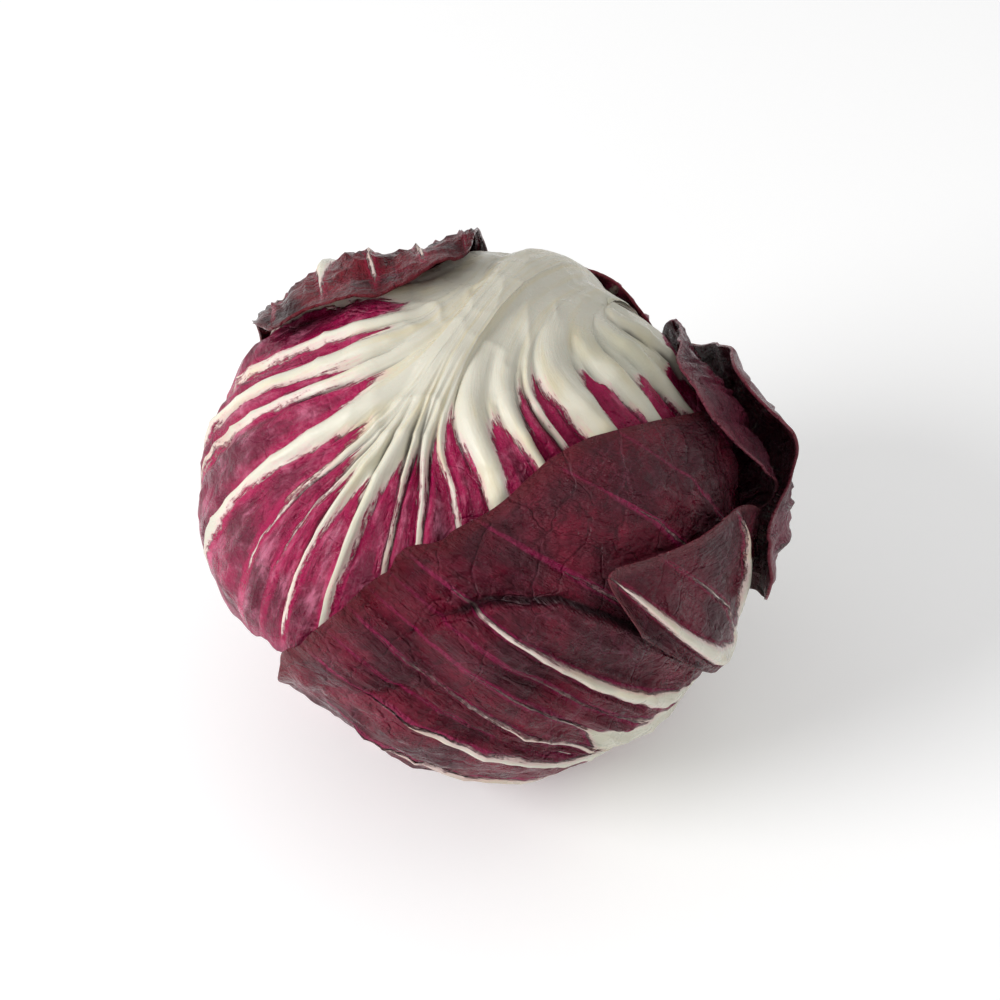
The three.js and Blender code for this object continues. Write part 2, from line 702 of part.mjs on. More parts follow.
const head = new THREE.Group();
head.add(stemMesh(), piece("heart", heartGeometry(), 0x5c1a33));
for (const leaf of LEAVES) {
  head.add(piece(leaf.name, leafGeometry(leaf), leaf.colour));
}

// The origin is at the middle of the head's box, on the surface that it rests on
const box = new THREE.Box3().setFromObject(head);
const middle = box.getCenter(new THREE.Vector3());
head.position.set(-middle.x, -middle.y, -box.min.z);

export default head;
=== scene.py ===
import itertools
import math

import bpy
import numpy as np
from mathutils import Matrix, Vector


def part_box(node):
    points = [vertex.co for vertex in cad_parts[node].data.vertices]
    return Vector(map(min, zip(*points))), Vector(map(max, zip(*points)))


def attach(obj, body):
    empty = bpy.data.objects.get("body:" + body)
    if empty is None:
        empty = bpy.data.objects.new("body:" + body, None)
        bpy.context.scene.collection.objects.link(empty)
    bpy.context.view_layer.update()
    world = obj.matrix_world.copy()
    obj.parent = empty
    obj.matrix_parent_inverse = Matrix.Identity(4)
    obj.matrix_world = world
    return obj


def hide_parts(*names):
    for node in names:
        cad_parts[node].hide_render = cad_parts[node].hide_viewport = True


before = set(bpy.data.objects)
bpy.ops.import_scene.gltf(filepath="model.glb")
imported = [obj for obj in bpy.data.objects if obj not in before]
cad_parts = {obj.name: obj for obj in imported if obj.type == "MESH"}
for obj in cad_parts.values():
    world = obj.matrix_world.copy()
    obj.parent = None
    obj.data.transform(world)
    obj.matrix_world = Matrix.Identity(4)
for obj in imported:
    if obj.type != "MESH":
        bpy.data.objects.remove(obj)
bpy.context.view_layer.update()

# The head, in millimetres, as in its solids
HEAD_RADIUS = 58.0
REST_DEPTH = 56.8
STEM_AT = (64.8, -19.4)
STEM_DIMPLE = (9.0, 24.0)
DENT_AT = (225.0, -38.0)
DENT_SIZE = (8.5, 28.0)

# The cut stem
STEM_RADIUS = 10.5
STEM_INNER_END = 46.5
STEM_CUT_END = 57.0
STEM_CHAMFER = 0.8
STEM_TAPER_LENGTH = 3.0
STEM_TAPER_RADIUS = 8.6

# The heart of tight inner leaves. Its ribs are counted for each of its leaves.
HEART_DEPTH = 5.4
HEART_LEAVES = 5
HEART_STEP = 0.9
HEART_STEP_SLOPES = (1.2, 8.0)
HEART_TWIST = 0.35
HEART_LAYER = 5
HEART_RIBS = 4
HEART_RIB_HALF = 1.6
HEART_RIB_HEIGHT = 0.45
HEART_EDGE = 0.03
HEART_GRID = (300, 160)

# Every leaf. Its rows run over five control points, at the places 0 to 4: base, neck, fork, middle and tip.
# The solid has PER_ROW strips of faces for each row.
CONTROLS = 5
PER_ROW = 2
FORK = 2.0
TIP = 4.0
NECK_AT = 0.45
BASE_RADIUS = 14.6
BASE_THICKNESS = 2.6
BLADE_THICKNESS = 1.0
MARGIN_THICKNESS = 0.65
LEAF_GAP = 0.75
CRUMPLE_HEIGHT = 0.5
CRUMPLE_WAVELENGTH = 30.0
CRUMPLE_WAVES = 7
CRUMPLE_SHIFT = 1.7
BASE_PLACES = 1.2
MARGIN_PLACES = 0.8
MARGIN_SIDE = 0.8
ROLL_FROM = 3.5
LIFT_POWER = 1.3
RUFFLE_SLANT = 2.2
CRINKLE_FADE = (1.0, 2.2)
PLEAT_FADE = (1.2, 2.2)
REST_SKIN = 0.95
REST_LAYER = 1.75
REST_SLOPE = 0.05

# The fine surface of a leaf, in millimetres, and its map, which counts millimetres along and across the rows
FINE_PLEAT_STEP = 0.7
CREASE_WIDTH = 1.1
CREASE_DEPTH = 0.9
GROOVE_WIDTH = 0.55
GROOVE_AT = 1.1
NO_WHITE = 30.0
LEAST_BLADE = 0.35
LEAST_GAP = 0.12
ROW_SPACING = 6.0
PLACE_LENGTH = 26.0

# The stack: how far out the leaves laid so far reach, kept at evenly spread directions
STACK_POINTS = 9000
STACK_REACH = 10.0
STACK_BLUR = 2.4
STACK_BATCH = 500

MM = 0.001
GOLDEN_TURN = math.pi * (3 - math.sqrt(5))
SEED = 11
LATTICE_CELLS = 32
LATTICE_SHIFT = 100.0


def facing(azimuth, elevation):
    """A direction from its azimuth, counted from +X towards +Y, and its elevation."""
    a, e = math.radians(azimuth), math.radians(elevation)
    return np.array([math.cos(e) * math.cos(a), math.cos(e) * math.sin(a), math.sin(e)])


def rise(value, start, end):
    """0 below start, 1 above end, with a smooth rise between."""
    share = np.clip((value - start) / (end - start), 0, 1)
    return share * share * (3 - 2 * share)


def hill(directions, centre, spread):
    """A smooth hill of height 1 round a direction."""
    turn = np.degrees(np.arccos(np.clip(directions @ centre, -1, 1))) / spread
    return np.exp(-turn * turn)


STEM = facing(*STEM_AT)
DENT = facing(*DENT_AT)


def stem_box_middle():
    """Middle of the stem's box when the head's centre is at the origin. The stem is a round of four rings."""
    spread = np.sqrt(1 - STEM**2)
    rings = (
        (STEM_INNER_END, STEM_TAPER_RADIUS),
        (STEM_INNER_END + STEM_TAPER_LENGTH, STEM_RADIUS),
        (STEM_CUT_END - STEM_CHAMFER, STEM_RADIUS),
        (STEM_CUT_END, STEM_RADIUS - STEM_CHAMFER),
    )
    lows = [STEM * along - spread * radius for along, radius in rings]
    highs = [STEM * along + spread * radius for along, radius in rings]
    return (np.min(lows, 0) + np.max(highs, 0)) / 2


# The solids' stem tells where the head's centre is
stem_low, stem_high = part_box("stem")
HEAD_AT = np.array((stem_low + stem_high) / 2) / MM - stem_box_middle()
HEAD_AT[2] = REST_DEPTH


def head_radius(directions):
    """A ball with a dimple round the stem and one flatter side."""
    dimple = STEM_DIMPLE[0] * hill(directions, STEM, STEM_DIMPLE[1])
    dent = DENT_SIZE[0] * hill(directions, DENT, DENT_SIZE[1])
    return HEAD_RADIUS - dimple - dent


def even_directions(count):
    """Directions spread evenly over the ball, along one spiral."""
    i = np.arange(count)
    z = 1 - (2 * i + 1) / count
    flat = np.sqrt(1 - z * z)
    return np.stack([flat * np.cos(i * GOLDEN_TURN), flat * np.sin(i * GOLDEN_TURN), z], 1)


WAVES = even_directions(CRUMPLE_WAVES)


def crumple(directions, wavelength):
    """Smooth unevenness between -1 and 1, as waves that run in several directions."""
    turns = 2 * math.pi * HEAD_RADIUS / wavelength
    waves = np.sin(turns * (directions @ WAVES.T) + CRUMPLE_SHIFT * np.arange(CRUMPLE_WAVES))
    return waves.sum(-1) / math.sqrt(CRUMPLE_WAVES) / 2


def radius_above(directions, height):
    """The greatest radius that stays a height above the surface that the head rests on."""
    z = directions[..., 2]
    return np.where(z < -REST_SLOPE, (REST_DEPTH - height) / np.maximum(-z, REST_SLOPE), np.inf)


LATTICE = np.random.default_rng(SEED).random((LATTICE_CELLS,) * 3).astype(np.float32)


def noise(points, size):
    """Smooth noise between -1 and 1 with lumps of a size in the points' own unit."""
    p = points / size + LATTICE_SHIFT
    cell = np.floor(p).astype(int)
    f = p - cell
    f = f * f * f * (f * (f * 6 - 15) + 10)
    total = 0.0
    for step in itertools.product((0, 1), repeat=3):
        x, y, z = np.moveaxis((cell + step) % LATTICE_CELLS, -1, 0)
        share = 1.0
        for axis in range(3):
            share = share * (f[..., axis] if step[axis] else 1 - f[..., axis])
        total = total + LATTICE[x, y, z] * share
    return 2 * total - 1


stack_directions = even_directions(STACK_POINTS)
stack_radius = np.zeros(STACK_POINTS)


def raise_stack(directions, radii):
    """Lays a leaf's outer face on the stack."""
    near = math.cos(STACK_REACH / HEAD_RADIUS)
    for start in range(0, len(directions), STACK_BATCH):
        part = slice(start, start + STACK_BATCH)
        inside = stack_directions @ directions[part].T > near
        np.maximum(stack_radius, np.where(inside, radii[part], 0).max(1), out=stack_radius)


def stack_at(directions):
    """The stack's radius, smoothed over a few of its points."""
    near = math.cos(3 * STACK_BLUR / HEAD_RADIUS)
    result = []
    for start in range(0, len(directions), STACK_BATCH):
        dots = directions[start : start + STACK_BATCH] @ stack_directions.T
        far = np.arccos(np.clip(dots, -1, 1)) * HEAD_RADIUS / STACK_BLUR
        share = np.where(dots >= near, np.exp(-0.5 * far * far), 0)
        result.append(share @ stack_radius / share.sum(1))
    return np.concatenate(result)


def spline_weights(places, count):
    """Weights of a smooth curve's points, at places counted in whole points."""
    places = np.asarray(places, float)
    flat = places.reshape(-1)
    k = np.minimum(np.floor(flat).astype(int), count - 2)
    f = flat - k
    shares = (
        0.5 * f * (-1 + f * (2 - f)),
        1 + 0.5 * f * f * (-5 + 3 * f),
        0.5 * f * (1 + f * (4 - 3 * f)),
        0.5 * f * f * (-1 + f),
    )
    weights = np.zeros((len(flat), count))
    for step, share in zip((-1, 0, 1, 2), shares):
        np.add.at(weights, (np.arange(len(flat)), np.clip(k + step, 0, count - 1)), share)
    return weights.reshape(places.shape + (count,))


class LeafMap:
    """The flat map of a leaf, in millimetres from its fan origin. Its first axis runs away from the stem."""

    def __init__(self, azimuth, elevation):
        self.origin = facing(azimuth, elevation)
        away = -(STEM - self.origin * (STEM @ self.origin))
        self.away = away / np.linalg.norm(away)
        self.across = np.cross(self.origin, self.away)
        turn = math.acos(self.origin @ STEM)
        self.stem_distance = turn * HEAD_RADIUS
        self.stretch = turn / math.sin(turn)

    def place(self, flat):
        turn = np.hypot(flat[..., 0], flat[..., 1]) / HEAD_RADIUS
        share = np.sinc(turn / math.pi) / HEAD_RADIUS
        return (
            np.cos(turn)[..., None] * self.origin
            + (flat[..., 0] * share)[..., None] * self.away
            + (flat[..., 1] * share)[..., None] * self.across
        )


def row(fork, tip, bend=None, half=0.0, high=0.0, reach=1.0, lift=0.0, roll=0.0):
    """One rib of a leaf, or a margin: places are (distance, turn in degrees) from the fan origin."""
    middle = bend or tuple((a + b) / 2 for a, b in zip(fork, tip))
    return dict(fork=fork, middle=middle, tip=tip, half=half, high=high, reach=reach, lift=lift, roll=roll)


def polar(place):
    """A point of the flat map from its distance and turn."""
    distance, turn = place[0], math.radians(place[1])
    return np.array([distance * math.cos(turn), distance * math.sin(turn)])


def control_points(leaf, leaf_map):
    """Five points of the flat map for each row of a leaf."""
    rows = leaf["rows"]
    points = np.zeros((len(rows), CONTROLS, 2))
    for k, one in enumerate(rows):
        side = 2 * k / (len(rows) - 1) - 1
        turn = math.radians(side * leaf["base_spread"])
        points[k, 0] = (
            BASE_RADIUS * math.cos(turn) - leaf_map.stem_distance,
            BASE_RADIUS * math.sin(turn) * leaf_map.stretch,
        )
        points[k, 1] = (-NECK_AT * leaf_map.stem_distance, side * leaf["neck"])
        for place, name in enumerate(("fork", "middle", "tip"), 2):
            points[k, place] = polar(one[name])
    return points


def even_places(controls, steps, roll_steps):
    """Places along the rows, evenly spaced on the middle row, closer together where the margin rolls."""
    samples = np.linspace(0, TIP, 201)
    line = spline_weights(samples, CONTROLS) @ controls[len(controls) // 2]
    lengths = np.concatenate([[0], np.hypot(*np.diff(line, axis=0).T).cumsum()])
    even = np.interp(np.linspace(0, lengths[-1], steps + 1), lengths, samples)
    if not roll_steps:
        return even
    return np.concatenate([even[even < ROLL_FROM - 0.1], np.linspace(ROLL_FROM, TIP, roll_steps + 1)])


def pleat_height(pleat, flat):
    """The height of a sharp step at a crest line, which falls off behind it, and the crease at its foot,
    whose mask also darkens the colour as painted shade.
    """
    line = np.array([polar(place) for place in pleat["crest"]])
    nearest = np.full(flat.shape[:-1], np.inf)
    behind = np.zeros(flat.shape[:-1])
    along = np.zeros(flat.shape[:-1])
    for i, (a, b) in enumerate(zip(line, line[1:])):
        way, past = b - a, flat - a
        share = np.clip((past @ way) / (way @ way), 0, 1)
        gap = np.linalg.norm(past - share[..., None] * way, axis=-1)
        closer = gap < nearest
        side = np.sign(way[1] * past[..., 0] - way[0] * past[..., 1])
        nearest = np.where(closer, gap, nearest)
        behind = np.where(closer, side * gap, behind)
        along = np.where(closer, (i + share) / (len(line) - 1), along)
    slope = np.exp(-((np.maximum(0, behind) / pleat["fall"]) ** 2))
    begun = rise(along, 0, 0.25)
    crease_and_shade = np.exp(-(((behind + pleat["step"]) / CREASE_WIDTH) ** 2)) * rise(along, 0.08, 0.3)
    return pleat["high"] * rise(behind, -pleat["step"], pleat["step"]) * slope * begun, crease_and_shade


def ridged(points, size):
    """Narrow creases between smooth lumps, from 0 to 1."""
    return (1 - np.abs(noise(points, size))) ** 2


class LeafShape:
    """The outer and inner face of a leaf on a grid of places along and across its rows."""

    def __init__(self, leaf, leaf_map, controls, places, across, stacked=None):
        """The surface is fine where the height of the stack under it is given."""
        self.leaf = leaf
        self.look = LOOKS[leaf["name"]]
        self.fine = stacked is not None
        rows = len(leaf["rows"])
        self.weights = spline_weights(across, rows)
        self.place = places[:, None] * np.ones(len(across))
        self.row_at = across * np.ones(self.place.shape)
        self.share = across / (rows - 1)
        self.side = 2 * self.share - 1
        at_tip = rise(self.place, TIP - MARGIN_PLACES, TIP)
        self.margin = np.maximum(at_tip, rise(np.abs(self.side), MARGIN_SIDE, 1))
        self.rolled = np.maximum(0, self.place - ROLL_FROM) / (TIP - ROLL_FROM)
        self.turn = np.maximum(0, self._between_rows("roll")) * self.rolled

        columns = np.einsum("jk,kcx->jcx", self.weights, controls)
        self.flat = np.einsum("ijc,jcx->ijx", spline_weights(self._reached(), CONTROLS), columns)
        self.paths = np.einsum("ic,kcx->ikx", spline_weights(places, CONTROLS), controls)
        self.directions = leaf_map.place(self.flat)
        self.stacked = stacked if self.fine else self._stack()
        self._set_thickness()
        self._set_lift()
        self._set_pleat()
        self._set_ribs()
        self._set_faces()

    def _between_rows(self, name):
        return self.weights @ np.array([one[name] for one in self.leaf["rows"]])

    def _stack(self):
        return stack_at(self.directions.reshape(-1, 3)).reshape(self.place.shape)

    def _reached(self):
        """How far along its row each point lies: less where the tip rolls, or where its margin is worn."""
        shortened = np.sinc(self.turn / math.pi)
        reached = np.minimum(self.place, ROLL_FROM) + (TIP - ROLL_FROM) * self.rolled * shortened
        if not self.fine:
            return reached
        edge = np.stack([self.row_at * 1.0, 7.0 * np.ones(reached.shape), 3.0 * np.ones(reached.shape)], -1)
        bite = 0.6 * noise(edge, 0.7) + 0.4 * noise(edge + 9, 0.23)
        return reached - self.look["torn"] * np.maximum(0, bite) * rise(self.place, 3.3, TIP)

    def _set_thickness(self):
        blade = BLADE_THICKNESS + (MARGIN_THICKNESS - BLADE_THICKNESS) * self.margin
        base = (1 - rise(self.place, 0, BASE_PLACES)) * (1 - self.side**2)
        self.thickness = blade + (BASE_THICKNESS - blade) * base

    def _set_lift(self):
        """The leaf's height over what is under it, from its lifted and rolled tips, ruffles and crinkles."""
        leaf = self.leaf
        curled = (1 - np.cos(self.turn)) / np.maximum(self.turn, 1e-6)
        ruffle = 0.5 + 0.5 * np.sin(2 * math.pi * leaf["ruffles"] * self.share + RUFFLE_SLANT * self.place)
        crinkle_height, crinkle_length = leaf["crinkle"]
        crinkled = 0.5 + 0.5 * crumple(self.directions, crinkle_length)
        self.lift = (
            self._between_rows("lift") * rise(self.place, leaf["lift_from"], TIP) ** LIFT_POWER
            + leaf.get("roll_length", 0) * self.rolled * curled
            + leaf["ruffle"] * self.margin * ruffle
            + crinkle_height * crinkled * rise(self.place, *CRINKLE_FADE)
        )

    def _set_pleat(self):
        self.puff = self.crease_and_shade = np.zeros(self.place.shape)
        if "pleat" in self.leaf:
            pleat = dict(self.leaf["pleat"], step=FINE_PLEAT_STEP) if self.fine else self.leaf["pleat"]
            fade = rise(self.place, *PLEAT_FADE)
            self.puff, self.crease_and_shade = (part * fade for part in pleat_height(pleat, self.flat))

    def _set_ribs(self):
        """The ribs' height, the grooves beside them, and how far inside the nearest white a point is."""
        leaf, place = self.leaf, self.place
        self.ribs = np.zeros(place.shape)
        self.white = np.full(place.shape, -NO_WHITE)
        self.groove = np.zeros(place.shape)
        self.start = self.look["start"]
        if isinstance(self.start, tuple):
            self.start = self.weights @ np.array(self.start)
        for k, rib in enumerate(leaf["rows"]):
            if not rib["high"]:
                continue
            gap = np.linalg.norm(self.flat - self.paths[:, k][:, None], axis=-1)
            half = rib["half"] * np.maximum(0.3, 1.4 - leaf["taper"] * (place - FORK))
            end = FORK + 2 * rib["reach"]
            fade = rise(place, FORK - 0.2, FORK + 0.6) * (1 - rise(place, end - 0.7, end + 0.05))
            self.ribs = np.maximum(self.ribs, rib["high"] * np.maximum(0, 1 - (gap / half) ** 2) * fade)
            spread = half * self.look["whiteness"] * (1 - rise(place, end - 0.4, end + 0.1)) - 0.1
            spread = spread + 9 * np.maximum(0, self.start + 0.35 - place) ** 2
            self.white = np.maximum(self.white, spread - gap)
            beside = np.sign(self.row_at - k)
            strength = 0.6 + 0.8 * noise(np.stack([place * 1.3, beside + 3.0 * k, place * 0], -1), 1.0)
            deep = np.exp(-(((gap - GROOVE_AT * half) / GROOVE_WIDTH) ** 2))
            self.groove = np.maximum(self.groove, strength * deep * fade)

        midrib = leaf["midrib"]
        at = spline_weights([midrib["at"]], len(leaf["rows"]))[0]
        gap = np.linalg.norm(self.flat - np.einsum("k,ikx->ix", at, self.paths)[:, None], axis=-1)
        profile = np.maximum(0, 1 - (gap / (midrib["half"] * (1.25 - 0.25 * place))) ** 2)
        fade = 1 - rise(place, FORK - 0.6, FORK + 0.9)
        self.ribs = np.maximum(self.ribs, midrib["high"] * profile * fade)
        wide = midrib["half"] * (1.7 - 0.35 * place) * (1 - rise(place, FORK, FORK + 1.0))
        self.white = np.maximum(self.white, wide - gap - 2)
        self.white = np.maximum(self.white, NO_WHITE * (self.start - 0.1 - place))

    def _fine_moves(self, spot):
        """How the fine surface moves: puckers between the ribs, folds, and soft swells."""
        look, place, row_at = self.look, self.place, self.row_at
        blades = rise(place, self.start - 0.2, self.start + 0.5)
        between = np.sin(math.pi * (row_at % 1)) ** 2
        lumps_along = noise(self.flow * [0.2, 1, 1] + row_at[..., None].round() * 7, 9)
        pucker = (between * (0.5 + lumps_along) - 0.3) * blades
        along_ribs = (ridged(self.flow * look["fold_ways"], 4.0) - 0.56) * blades
        lumps = (ridged(spot + 20, 6.0) - 0.56) * rise(place, 1, 2)
        folds = (along_ribs + 0.5 * lumps) * (1 - 0.8 * self.margin)
        soft = 0.6 * noise(spot, 11) + 0.3 * noise(spot + 40, 5)
        moved = look["pucker"] * pucker + look["folds"] * folds
        return moved + look["soft"] * soft * rise(place, 0.3, 1.2)

    def _fine_relief(self, spot):
        """The relief of the outer face alone: ribs, grooves, small unevenness and the crease at the pleat."""
        look = self.look
        tiny = 0.5 * noise(spot + 80, 2.3) + 0.35 * noise(self.flow * [2.2, 0.5, 1] + 60, 1.6)
        relief = look["ribs"] * self.ribs - look["groove"] * self.groove
        relief = relief + look["tiny"] * tiny * rise(self.place, 0.3, 1.2)
        return np.maximum(relief - CREASE_DEPTH * self.crease_and_shade, LEAST_BLADE - self.thickness)

    def _set_faces(self):
        wobble = CRUMPLE_HEIGHT * (1 + crumple(self.directions, CRUMPLE_WAVELENGTH))
        floor = head_radius(self.directions) - self.leaf["depth"] + wobble
        under = np.maximum(self.stacked + LEAF_GAP, floor) + self.lift + self.puff
        relief = self.ribs
        if self.fine:
            spot = self.directions * HEAD_RADIUS
            steps = (self.row_at * ROW_SPACING, self.place * PLACE_LENGTH, np.zeros(self.place.shape))
            self.flow = np.stack(steps, -1)
            under = np.maximum(under + self._fine_moves(spot), self.stacked + LEAST_GAP)
            relief = self._fine_relief(spot)
            # The crease mask with the grooves added, scaled by the look's line, darkens the colour: painted
            # shade
            self.crease_and_shade = np.maximum(self.crease_and_shade, self.look["line"] * np.clip(self.groove, 0, 1))
        lowest = self.leaf["layer"] * REST_LAYER
        inner_radius = np.minimum(under, radius_above(self.directions, lowest + REST_SKIN))
        outer_radius = np.minimum(under + self.thickness + relief, radius_above(self.directions, lowest))
        self.outer = self.directions * outer_radius[..., None]
        self.inner = self.directions * inner_radius[..., None]
        self._thicken_lifted()

    def _thicken_lifted(self):
        """A lifted margin is thick along its own normal instead of along the head's radius."""
        turned = rise(self.lift, 0.5, 3)[..., None]
        along = np.gradient(self.outer, axis=0)
        across = np.gradient(self.outer, axis=1)
        normal = np.cross(along, across)
        normal /= np.linalg.norm(normal, axis=-1, keepdims=True)
        way = self.directions + (normal - self.directions) * turned
        way /= np.linalg.norm(way, axis=-1, keepdims=True)
        shifted = self.outer - way * self.thickness[..., None]
        self.inner = np.where(turned > 0, shifted * turned + self.inner * (1 - turned), self.inner)


def linear(value):
    """A linear share of light from a screen value of 0 to 255."""
    share = value / 255
    return share / 12.92 if value < 10.3 else ((share + 0.055) / 1.055) ** 2.4


def colour(red, green, blue):
    return (linear(red), linear(green), linear(blue), 1.0)


WHITE = colour(211, 207, 192)
CREAM = colour(212, 196, 150)
SHADE = colour(184, 184, 164)
PINK = colour(230, 134, 166)
CREASE_SHADE = colour(26, 6, 12)
STEM_PALE = colour(228, 218, 186)
STEM_BROWNED = colour(196, 168, 118)
NET_STRENGTH = 0.05
BUMP_DEPTH = 0.0008

# The looks of a leaf, and what most leaves share:
# slot: the material slot
# grid: quads along and across the leaf
# start: the place on its rows where the white splits into ribs, one for all rows or one for each
# whiteness: the white's width against the rib's
# pucker, folds, soft: millimetres of swelling between ribs, of folds, and of soft unevenness
# fold_ways: how often the folds come across, along and through the leaf
# ribs, groove, tiny: the rib's height against the solid's, depth of the grooves beside it, fine unevenness
# torn: places lost at most at the worn margin
# dark, deep, bright, rim: colours of the blade, of its base, beside the ribs, and of its margin
# flush: width in millimetres of the bright colour beside a rib
# haze: pink patches of painted sheen on the blade
# line: darkness of the painted shade in the grooves
# streak: dark streaks along the leaf
# feather: unevenness of the white's edge
# bump, shine: strength of the fine bump, and of the reflection
SHARED_LOOK = dict(
    slot="wine_leaf",
    start=2.0,
    whiteness=1.0,
    pucker=0.8,
    folds=0.9,
    groove=0.4,
    tiny=0.14,
    torn=0.06,
    flush=1.3,
    painted_sheen=0.02,
    bump=0.8,
    feather=0.5,
    soft=0.45,
    ribs=1.1,
    shine=0.16,
    line=0.3,
    streak=0.3,
    fold_ways=(1.6, 0.35, 1.0),
)

LOOKS = {
    "leaf_white_fan": dict(
        SHARED_LOOK,
        slot="white_leaf",
        grid=(216, 216),
        start=(
            2.3, 2.4, 2.38, 2.35, 2.35, 2.34, 2.5, 2.6, 2.75, 2.75, 2.45,
            2.35, 2.25, 2.45, 2.5, 2.2, 2.35, 2.6, 2.9, 3.2, 3.4,
        ),
        pucker=1.4,
        folds=1.2,
        groove=1.3,
        tiny=0.10,
        flush=3.4,
        dark=colour(92, 14, 42),
        deep=colour(152, 22, 72),
        bright=colour(168, 14, 78),
        rim=colour(150, 60, 90),
        painted_sheen=0.5,
        feather=0.8,
        soft=0.35,
        ribs=1.35,
        shine=0.24,
        line=0.8,
        streak=0.65,
        fold_ways=(2.2, 0.13, 1.0),
    ),
    "leaf_back_left": dict(
        SHARED_LOOK,
        grid=(190, 130),
        start=(2.1, 2.1, 2.1, 2.1, 2.1, 2.1, 2.1, 2.2, 3.3, 2.3, 2.2, 2.2, 2.1, 2.1),
        whiteness=0.6,
        folds=1.6,
        torn=0.12,
        flush=1.6,
        dark=colour(48, 4, 12),
        deep=colour(112, 10, 30),
        bright=colour(140, 20, 52),
        rim=colour(100, 22, 34),
        bump=1.3,
        feather=0.6,
        soft=1.1,
        ribs=1.0,
        line=0.4,
        streak=0.4,
        fold_ways=(2.2, 0.6, 1.0),
    ),
    "leaf_front_wrap": dict(
        SHARED_LOOK,
        grid=(216, 216),
        start=2.05,
        whiteness=0.9,
        pucker=0.9,
        folds=1.35,
        groove=0.6,
        tiny=0.3,
        torn=0.03,
        dark=colour(72, 10, 28),
        deep=colour(116, 12, 42),
        bright=colour(150, 20, 76),
        rim=colour(104, 18, 32),
        painted_sheen=0.04,
        bump=1.6,
        feather=0.35,
        shine=0.32,
        line=0.35,
        fold_ways=(1.4, 0.30, 1.0),
    ),
    "leaf_front_fold": dict(
        SHARED_LOOK,
        grid=(130, 110),
        pucker=0.6,
        groove=0.5,
        tiny=0.22,
        torn=0.04,
        dark=colour(70, 10, 28),
        deep=colour(108, 12, 40),
        bright=colour(148, 24, 68),
        rim=colour(128, 62, 70),
        painted_sheen=0.04,
        bump=1.6,
        feather=0.35,
        soft=0.4,
        shine=0.32,
        line=0.35,
    ),
    "leaf_back_cover": dict(
        SHARED_LOOK,
        grid=(110, 130),
        start=2.1,
        whiteness=0.8,
        tiny=0.12,
        torn=0.1,
        flush=2.0,
        dark=colour(84, 24, 38),
        deep=colour(108, 26, 46),
        bright=colour(156, 30, 76),
        rim=colour(130, 50, 60),
        painted_sheen=0.12,
        feather=0.7,
    ),
    "leaf_right_lobe": dict(
        SHARED_LOOK,
        grid=(150, 130),
        whiteness=0.2,
        folds=1.3,
        groove=0.2,
        flush=0.8,
        dark=colour(84, 22, 42),
        deep=colour(126, 30, 62),
        bright=colour(120, 30, 62),
        rim=colour(140, 70, 84),
        bump=1.5,
        soft=0.9,
        ribs=1.0,
        shine=0.3,
    ),
    "leaf_right_hood": dict(
        SHARED_LOOK,
        grid=(160, 170),
        whiteness=0.2,
        folds=0.8,
        groove=0.2,
        flush=0.8,
        dark=colour(82, 22, 40),
        deep=colour(122, 28, 58),
        bright=colour(120, 30, 62),
        rim=colour(136, 60, 72),
        bump=1.5,
        soft=0.8,
        ribs=1.0,
        shine=0.3,
        fold_ways=(1.2, 0.25, 1.0),
    ),
    "leaf_under": dict(
        SHARED_LOOK,
        slot="mauve_leaf",
        grid=(150, 160),
        start=2.1,
        whiteness=0.8,
        pucker=0.6,
        folds=0.8,
        tiny=0.10,
        torn=0.08,
        flush=2.4,
        dark=colour(104, 44, 60),
        deep=colour(126, 46, 70),
        bright=colour(160, 50, 96),
        rim=colour(170, 100, 120),
        painted_sheen=0.2,
        feather=0.6,
        soft=0.4,
    ),
    "heart": dict(
        SHARED_LOOK,
        slot="heart",
        flush=2.4,
        dark=colour(84, 16, 42),
        deep=colour(122, 22, 60),
        bright=colour(150, 20, 76),
        rim=colour(130, 50, 60),
        painted_sheen=0.2,
        bump=0.9,
        shine=0.2,
        streak=0.5,
    ),
}

